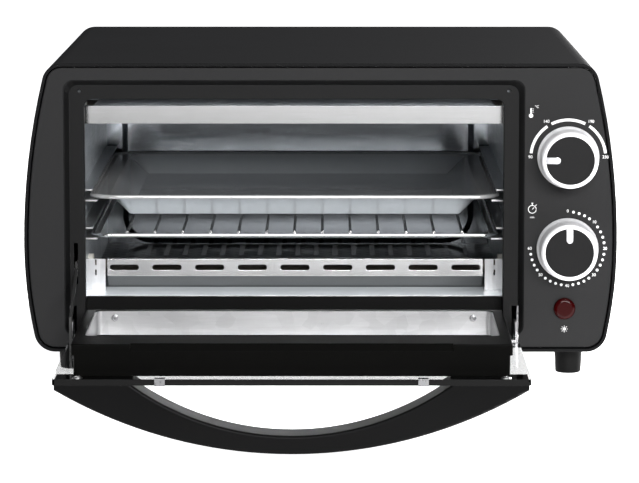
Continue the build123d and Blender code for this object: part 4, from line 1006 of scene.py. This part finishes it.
class OVEN_OT_dress_knobs(bpy.types.Operator):
    """Plates the knobs, turns rings on their faces and fits their pointers"""

    bl_idname = "oven.dress_knobs"
    bl_label = "Dress the knobs"

    def execute(self, context):
        knobs = context.scene.oven_knobs
        for name, turn in (("thermostat", 180), ("timer", 90)):
            centre = box_centre(f"{name}_knob_face")
            dress(self.silver(name, centre, knobs), f"{name}_knob")
            dress(self.face(name, centre, knobs), f"{name}_knob_face")
            shaft = moulded(f"{name}_shaft_moulded", (0.55, 0.53, 0.48), 0.0004, 0.4, 0.55)
            dress(shaft, f"{name}_shaft")
            self.pointer(name, turn)
        return {"FINISHED"}

    def silver(self, name, centre, knobs):
        finish = Finish(f"{name}_knob_silver", metallic=0.35)
        rings = finish.group("turned_rings", Centre=centre, Pitch=0.0005)
        finish.wiped(0.28, 0.4)
        finish.drive("Base Color", finish.shades(rings["Ring"], knobs.silver_colour, 0.9, 1.12))
        finish.bump(rings["Height"], 0.00002, 0.3, 0.0005)
        return finish.material

    def face(self, name, centre, knobs):
        finish = Finish(f"{name}_face_spun", metallic=0.2, specular=0.15)
        rings = finish.group("turned_rings", Centre=centre, Pitch=knobs.ring_pitch)
        finish.drive("Base Color", finish.shades(rings["Ring"], knobs.face_colour, 0.7, 1.5))
        finish.drive("Roughness", spread(finish.tree, rings["Ring"], 0.3, 0.45))
        finish.bump(rings["Height"], 0.00003, 0.6)
        return finish.material

    def pointer(self, name, turn):
        """A bar, rounded at its inner end, that runs from the rim towards the middle."""
        low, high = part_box(f"{name}_knob_pointer")
        face_low, face_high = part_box(f"{name}_knob_face")
        rim = (face_high.x - face_low.x) / 2
        spans = (high.x - low.x, high.z - low.z)
        half = min(spans) / 2
        inner = rim - max(spans) + half
        outline = [(rim - 0.0001, -half), (rim - 0.0001, half)]
        outline += arc_points((inner, 0.0), half, 90, 270, 12)
        centre = dial_centre(f"{name}_knob_face")
        cosine = math.cos(math.radians(turn))
        sine = math.sin(math.radians(turn))
        points = [
            shifted(centre, x * cosine - z * sine, x * sine + z * cosine) for x, z in outline
        ]

        def build(work):
            prism(work, points, (low.y, high.y))
            front = [e for e in work.edges if all(abs(v.co.y - low.y) < 1e-6 for v in e.verts)]
            bmesh.ops.bevel(
                work, geom=front, offset=0.0003, segments=3, affect="EDGES", profile=0.5
            )

        mesh = mesh_of(f"{name}_pointer_bar", build)
        smooth_faces(mesh, 30.0)
        finish = Finish(f"{name}_pointer_silver", metallic=0.7)
        patch = finish.wiped(0.25, 0.38)
        finish.drive("Base Color", finish.shades(patch, (0.72, 0.72, 0.75), 0.92, 1.08))
        place_mesh(
            f"{name}_pointer_bar", mesh, f"{name}_control", finish.material,
            [f"{name}_knob_pointer"],
        )


class OVEN_OT_print_dials(bpy.types.Operator):
    """Prints the temperature arcs, timer dots, figures and small symbols"""

    bl_idname = "oven.print_dials"
    bl_label = "Print the dials"

    def execute(self, context):
        ink = context.scene.oven_print
        self.depth = (PANEL_FACE - ink.ink_thickness, PANEL_FACE - ink.ink_thickness * 0.05)
        finish = Finish("dial_ink_white", roughness=0.55, specular=0.3)
        grains = finish.group("paint_grain", Grains_per_metre=2500.0)
        finish.drive("Base Color", finish.shades(grains["Speck"], ink.print_colour, 0.9, 1.05))
        finish.bump(grains["Height"], 0.00001, 0.3)
        self.material = finish.material
        self.temperature(ink)
        self.minutes(ink)
        self.symbols(ink)
        return {"FINISHED"}

    def put(self, name, build):
        self.print_mesh(name, mesh_of(name, build))

    def words(self, name, text, centre, height):
        self.print_mesh(name, ink_figures(name, text, centre, height, self.depth))

    def print_mesh(self, name, mesh):
        place_mesh(name, mesh, "cabinet", self.material)

    def bars(self, work, origin, strokes):
        """Straight strokes, each (from x, from z, to x, to z, width) from an origin."""
        for x, z, to_x, to_z, width in strokes:
            ink_bar(work, shifted(origin, x, z), shifted(origin, to_x, to_z), width, self.depth)

    def temperature(self, ink):
        centre = dial_centre("thermostat_knob_face")

        def arcs(work):
            for start, stop in TEMPERATURE_ARCS:
                ink_arc(work, centre, ink.arc_radius, ink.arc_width, start, stop, self.depth)

        self.put("temperature_arcs", arcs)
        height = ink.letter_height * FIGURE_SCALE
        for text, x, z in TEMPERATURES:
            self.words(f"temperature_{text}", text, shifted(centre, x, z), height)

    def minutes(self, ink):
        centre = dial_centre("timer_knob_face")

        def dots(work):
            for step in range(TIMER_DOTS):
                if step % DOTS_PER_FIGURE:
                    spot = polar(centre, TIMER_RADIUS, 90 - DOT_STEP * step)
                    ink_dot(work, spot, ink.dot_radius, self.depth)

        self.put("timer_dots", dots)
        height = ink.letter_height * FIGURE_SCALE
        for step in range(7):
            text = str(step * 10)
            spot = polar(centre, TIMER_RADIUS + FIGURES_OUT, 90 - FIGURE_STEP * step)
            self.words(f"timer_{text}", text, spot, height)

    def symbols(self, ink):
        bulb = shifted(dial_centre("thermostat_knob_face"), -0.023, 0.0255)
        watch = shifted(dial_centre("timer_knob_face"), -0.0218, 0.0243)
        lamp = shifted(dial_centre("indicator_lens"), 0, -0.0128)
        self.put("thermometer_mark", lambda work: self.thermometer(work, bulb))
        self.put("stopwatch_mark", lambda work: self.stopwatch(work, watch))
        self.put("lamp_mark", lambda work: self.rays(work, lamp))
        self.words("degree_mark", "°C", shifted(bulb, 0.0036, 0.0054), ink.letter_height * 0.7)
        self.words("minute_mark", "min", shifted(watch, 0, -0.0049), ink.letter_height * 0.6)

    def thermometer(self, work, bulb):
        """A filled bulb with a stem and three scale strokes."""
        ink_dot(work, bulb, 0.0013, self.depth)
        scale = [(0.0008, rise, 0.0016, rise, 0.0003) for rise in (0.0022, 0.0032, 0.0042)]
        self.bars(work, bulb, [(0, 0.001, 0, 0.0046, 0.0009)] + scale)

    def stopwatch(self, work, watch):
        """A ring with a crown, a side button and a hand."""
        ink_arc(work, watch, 0.0024, 0.0004, 0, 352, self.depth, 40)
        self.bars(work, watch, (
            (0, 0.0026, 0, 0.0038, 0.0005),
            (-0.0006, 0.0038, 0.0006, 0.0038, 0.0005),
            (0.0019, 0.0021, 0.0026, 0.0029, 0.0004),
            (0, 0, 0.0012, 0.0012, 0.0004),
        ))

    def rays(self, work, centre):
        """A dot with eight rays."""
        ink_dot(work, centre, 0.0009, self.depth)
        for step in range(8):
            ray = [polar(centre, radius, 45 * step) for radius in (0.0014, 0.0021)]
            ink_bar(work, *ray, 0.0003, self.depth)


class OVEN_OT_dress_controls(bpy.types.Operator):
    """Finishes the lamp, the lens and the hidden control parts"""

    bl_idname = "oven.dress_controls"
    bl_label = "Dress the controls"

    def execute(self, context):
        dress(self.lens(), "indicator_lens")
        dress(clear_glass("lamp_bulb_glass", (0.9, 0.75, 0.6), 0.02, 0.06), "neon_lamp")
        case = sheet_metal(
            "control_case_plated", (0.55, 0.55, 0.54), (400.0, 400.0, 60.0), 0.28, 0.42
        )
        dress(case, "thermostat", "timer")
        block = moulded("terminal_block_moulded", (0.7, 0.68, 0.62), 0.0004, 0.4, 0.55)
        dress(block, "terminal_block")
        return {"FINISHED"}

    def lens(self):
        finish = Finish("lens_dark_red", specular=0.1)
        grains = finish.group("paint_grain", Grains_per_metre=900.0)
        patch = finish.wiped(0.1, 0.2)
        red = finish.blend(patch, (0.016, 0.0002, 0.0003), (0.026, 0.0006, 0.0007))
        finish.drive("Base Color", red)
        finish.drive("Coat Weight", 0.08)
        finish.drive("Coat Roughness", 0.08)
        finish.bump(grains["Height"], 0.00003, 0.4)
        return finish.material


class OVEN_OT_fit_screws(bpy.types.Operator):
    """Fits cross-recessed heads in place of the plain screws"""

    bl_idname = "oven.fit_screws"
    bl_label = "Fit the screws"

    def execute(self, context):
        plated = sheet_metal(
            "screw_plated", (0.6, 0.6, 0.6), (300.0, 300.0, 300.0), 0.22, 0.34
        )
        self.row("handle_screws", "door", (0, 0, 1), 0.0032, plated)
        self.row("rear_screws", "cabinet", (0, 1, 0), 0.0034, plated)
        self.row("foot_screws", "cabinet", (0, 0, -1), 0.0035, plated)
        return {"FINISHED"}

    def islands(self, node):
        """The boxes of a node's separate solids."""
        work = bmesh.new()
        work.from_mesh(NODES[node].data)
        bmesh.ops.remove_doubles(work, verts=work.verts, dist=1e-6)
        work.verts.ensure_lookup_table()
        seen = set()
        boxes = []
        for vertex in work.verts:
            if vertex.index in seen:
                continue
            queue = [vertex]
            seen.add(vertex.index)
            found = []
            while queue:
                current = queue.pop()
                found.append(current.co.copy())
                for edge in current.link_edges:
                    other = edge.other_vert(current)
                    if other.index not in seen:
                        seen.add(other.index)
                        queue.append(other)
            low = Vector([min(point[axis] for point in found) for axis in range(3)])
            high = Vector([max(point[axis] for point in found) for axis in range(3)])
            boxes.append((low, high))
        work.free()
        return boxes

    def row(self, node, body, out, radius, material):
        """One head on the outer end of each solid of a node."""
        direction = Vector(out)
        name = node[:-1]
        height = radius * SCREW_DOME
        head = screw_mesh(name + "_head", radius, height)
        turn = direction.to_track_quat("Z", "Y").to_matrix().to_4x4()
        for count, (low, high) in enumerate(self.islands(node), 1):
            reach = abs(direction.dot(high - low)) / 2
            seat = (low + high) / 2 + direction * (reach - height)
            spin = Matrix.Rotation(math.radians(SCREW_SPIN * count), 4, "Z")
            mesh = head.copy()
            mesh.transform(Matrix.Translation(seat) @ turn @ spin)
            stands_for = [node] if count == 1 else []
            place_mesh(f"{name}_head_{count}", mesh, body, material, stands_for)
        bpy.data.meshes.remove(head)


class OVEN_OT_set_stage(bpy.types.Operator):
    """Lays the floor, hangs the lights and places the camera"""

    bl_idname = "oven.set_stage"
    bl_label = "Set the stage"

    def execute(self, context):
        stage = context.scene.oven_stage
        self.floor(stage)
        self.card(stage)
        for name, place, target, size, power in LIGHTS:
            self.light(name, place, target, size, getattr(stage, power))
        self.world(context, stage)
        self.camera(context, stage)
        context.scene.view_settings.view_transform = "Standard"
        context.scene.view_settings.look = "None"
        return {"FINISHED"}

    def backdrop(self, name, mesh, finish):
        mesh.materials.append(finish.material)
        add_object(name, mesh)

    def floor(self, stage):
        """A pale sweep, level under the oven, that eases down ahead of it.

        The open door's handle hangs below the plane of the feet, and the drop clears it.
        """
        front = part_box("outer_shell")[0].y
        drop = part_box("handle")[0].z - FLOOR_UNDER_HANDLE
        rows = [(FLOOR_REACH, 0.0), (FLOOR_BEHIND, 0.0), (front, 0.0)]
        for step in range(1, FLOOR_STEPS + 1):
            part = step / FLOOR_STEPS
            rows.append((front - FLOOR_EASE * part, drop * (3 * part ** 2 - 2 * part ** 3)))
        rows.append((-FLOOR_REACH, drop))

        def build(work):
            left, right = (
                [work.verts.new((x, y, z)) for y, z in rows]
                for x in (-FLOOR_HALF_WIDTH, FLOOR_HALF_WIDTH)
            )
            for near, far in zip(zip(left, right), zip(left[1:], right[1:])):
                work.faces.new((*near, *reversed(far)))

        mesh = mesh_of("studio_floor", build)
        if sum(face.normal.z for face in mesh.polygons) < 0:
            mesh.flip_normals()
        for face in mesh.polygons:
            face.use_smooth = True
        finish = Finish("studio_floor_pale", specular=0.1)
        patch = finish.wiped(0.85, 0.95)
        finish.drive("Base Color", finish.shades(patch, stage.floor_colour, 0.995, 1.005))
        finish.drive("Emission Color", (1.0, 1.0, 1.0, 1.0))
        finish.drive("Emission Strength", stage.floor_glow)
        self.backdrop("studio_floor", mesh, finish)

    def card(self, stage):
        """A glowing card low in front of the oven, brighter to the right and near the oven."""
        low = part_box("handle")[0]
        level = low.z - CARD_UNDER_HANDLE
        near = low.y - CARD_AHEAD
        far = near - CARD_DEPTH
        side = CARD_HALF_WIDTH
        corners = ((-side, near), (side, near), (side, far), (-side, far))
        mesh = mesh_of("glow_card", lambda work: work.faces.new(
            [work.verts.new((x, y, level)) for x, y in corners]
        ))
        finish = Finish("glow_card_gradient", roughness=0.9, specular=0.0)
        across = smooth_rise(finish.tree, finish.along("X"), -CARD_BLEND, CARD_BLEND)
        beside = smooth_rise(finish.tree, finish.along("Y"), near - CARD_NEAR_BAND, near)
        dim = finish.blend(across, (stage.card_left,) * 3, (stage.card_right,) * 3)
        strong = finish.blend(
            across, (stage.card_left * CARD_NEAR_LEFT,) * 3,
            (stage.card_right * CARD_NEAR_RIGHT,) * 3,
        )
        finish.drive("Base Color", (0.02, 0.02, 0.02, 1.0))
        finish.drive("Emission Color", finish.blend(beside, dim, strong))
        finish.drive("Emission Strength", 1.0)
        self.backdrop("glow_card", mesh, finish)

    def light(self, name, place, target, size, power):
        lamp = bpy.data.lights.new(name, "AREA")
        lamp.shape = "RECTANGLE"
        lamp.size, lamp.size_y = size
        lamp.energy = power
        holder = add_object(name, lamp)
        holder.location = place
        aim = Vector(target) - Vector(place)
        holder.rotation_euler = aim.to_track_quat("-Z", "Y").to_euler()

    def world(self, context, stage):
        world = bpy.data.worlds.new("studio_ambient")
        world.use_nodes = True
        background = world.node_tree.nodes["Background"]
        background.inputs["Color"].default_value = (0.95, 0.96, 1.0, 1.0)
        background.inputs["Strength"].default_value = stage.world_strength
        context.scene.world = world

    def camera(self, context, stage):
        camera = bpy.data.cameras.new("product_camera")
        camera.lens = stage.camera_lens
        camera.sensor_width = 36.0
        camera.clip_start = 0.05
        camera.clip_end = 60.0
        holder = add_object("product_camera", camera)
        holder.location = stage.camera_place
        holder.rotation_euler = (math.radians(90) - stage.camera_pitch, 0.0, stage.camera_yaw)
        context.scene.camera = holder


class OVEN_PT_sidebar(bpy.types.Panel):
    """Lists the oven's steps and settings"""

    bl_idname = "OVEN_PT_sidebar"
    bl_label = "Toaster oven"
    bl_space_type = "VIEW_3D"
    bl_region_type = "UI"
    bl_category = "Oven"

    def draw(self, context):
        for step in STEPS:
            self.layout.operator(step.bl_idname)
        for settings in SETTINGS:
            group = getattr(context.scene, settings)
            column = self.layout.column(heading=settings)
            for label in group.__annotations__:
                column.prop(group, label)


STEPS = (
    OVEN_OT_set_stage, OVEN_OT_dress_shell, OVEN_OT_dress_panel, OVEN_OT_dress_chamber,
    OVEN_OT_dress_rack_and_pan, OVEN_OT_dress_door, OVEN_OT_dress_knobs, OVEN_OT_print_dials,
    OVEN_OT_dress_controls, OVEN_OT_fit_screws,
)

SETTINGS = {
    "oven_paint": OvenPaintSettings,
    "oven_metal": OvenMetalSettings,
    "oven_knobs": OvenKnobSettings,
    "oven_print": OvenPrintSettings,
    "oven_stage": OvenStageSettings,
}


def register():
    for name, settings in SETTINGS.items():
        bpy.utils.register_class(settings)
        setattr(bpy.types.Scene, name, PointerProperty(type=settings))
    for step in STEPS:
        bpy.utils.register_class(step)
    bpy.utils.register_class(OVEN_PT_sidebar)


def unregister():
    bpy.utils.unregister_class(OVEN_PT_sidebar)
    for step in reversed(STEPS):
        bpy.utils.unregister_class(step)
    for name, settings in SETTINGS.items():
        delattr(bpy.types.Scene, name)
        bpy.utils.unregister_class(settings)


def main():
    register()
    build_groups()
    for step in STEPS:
        category, action = step.bl_idname.split(".")
        getattr(getattr(bpy.ops, category), action)()


if __name__ == "__main__":
    main()
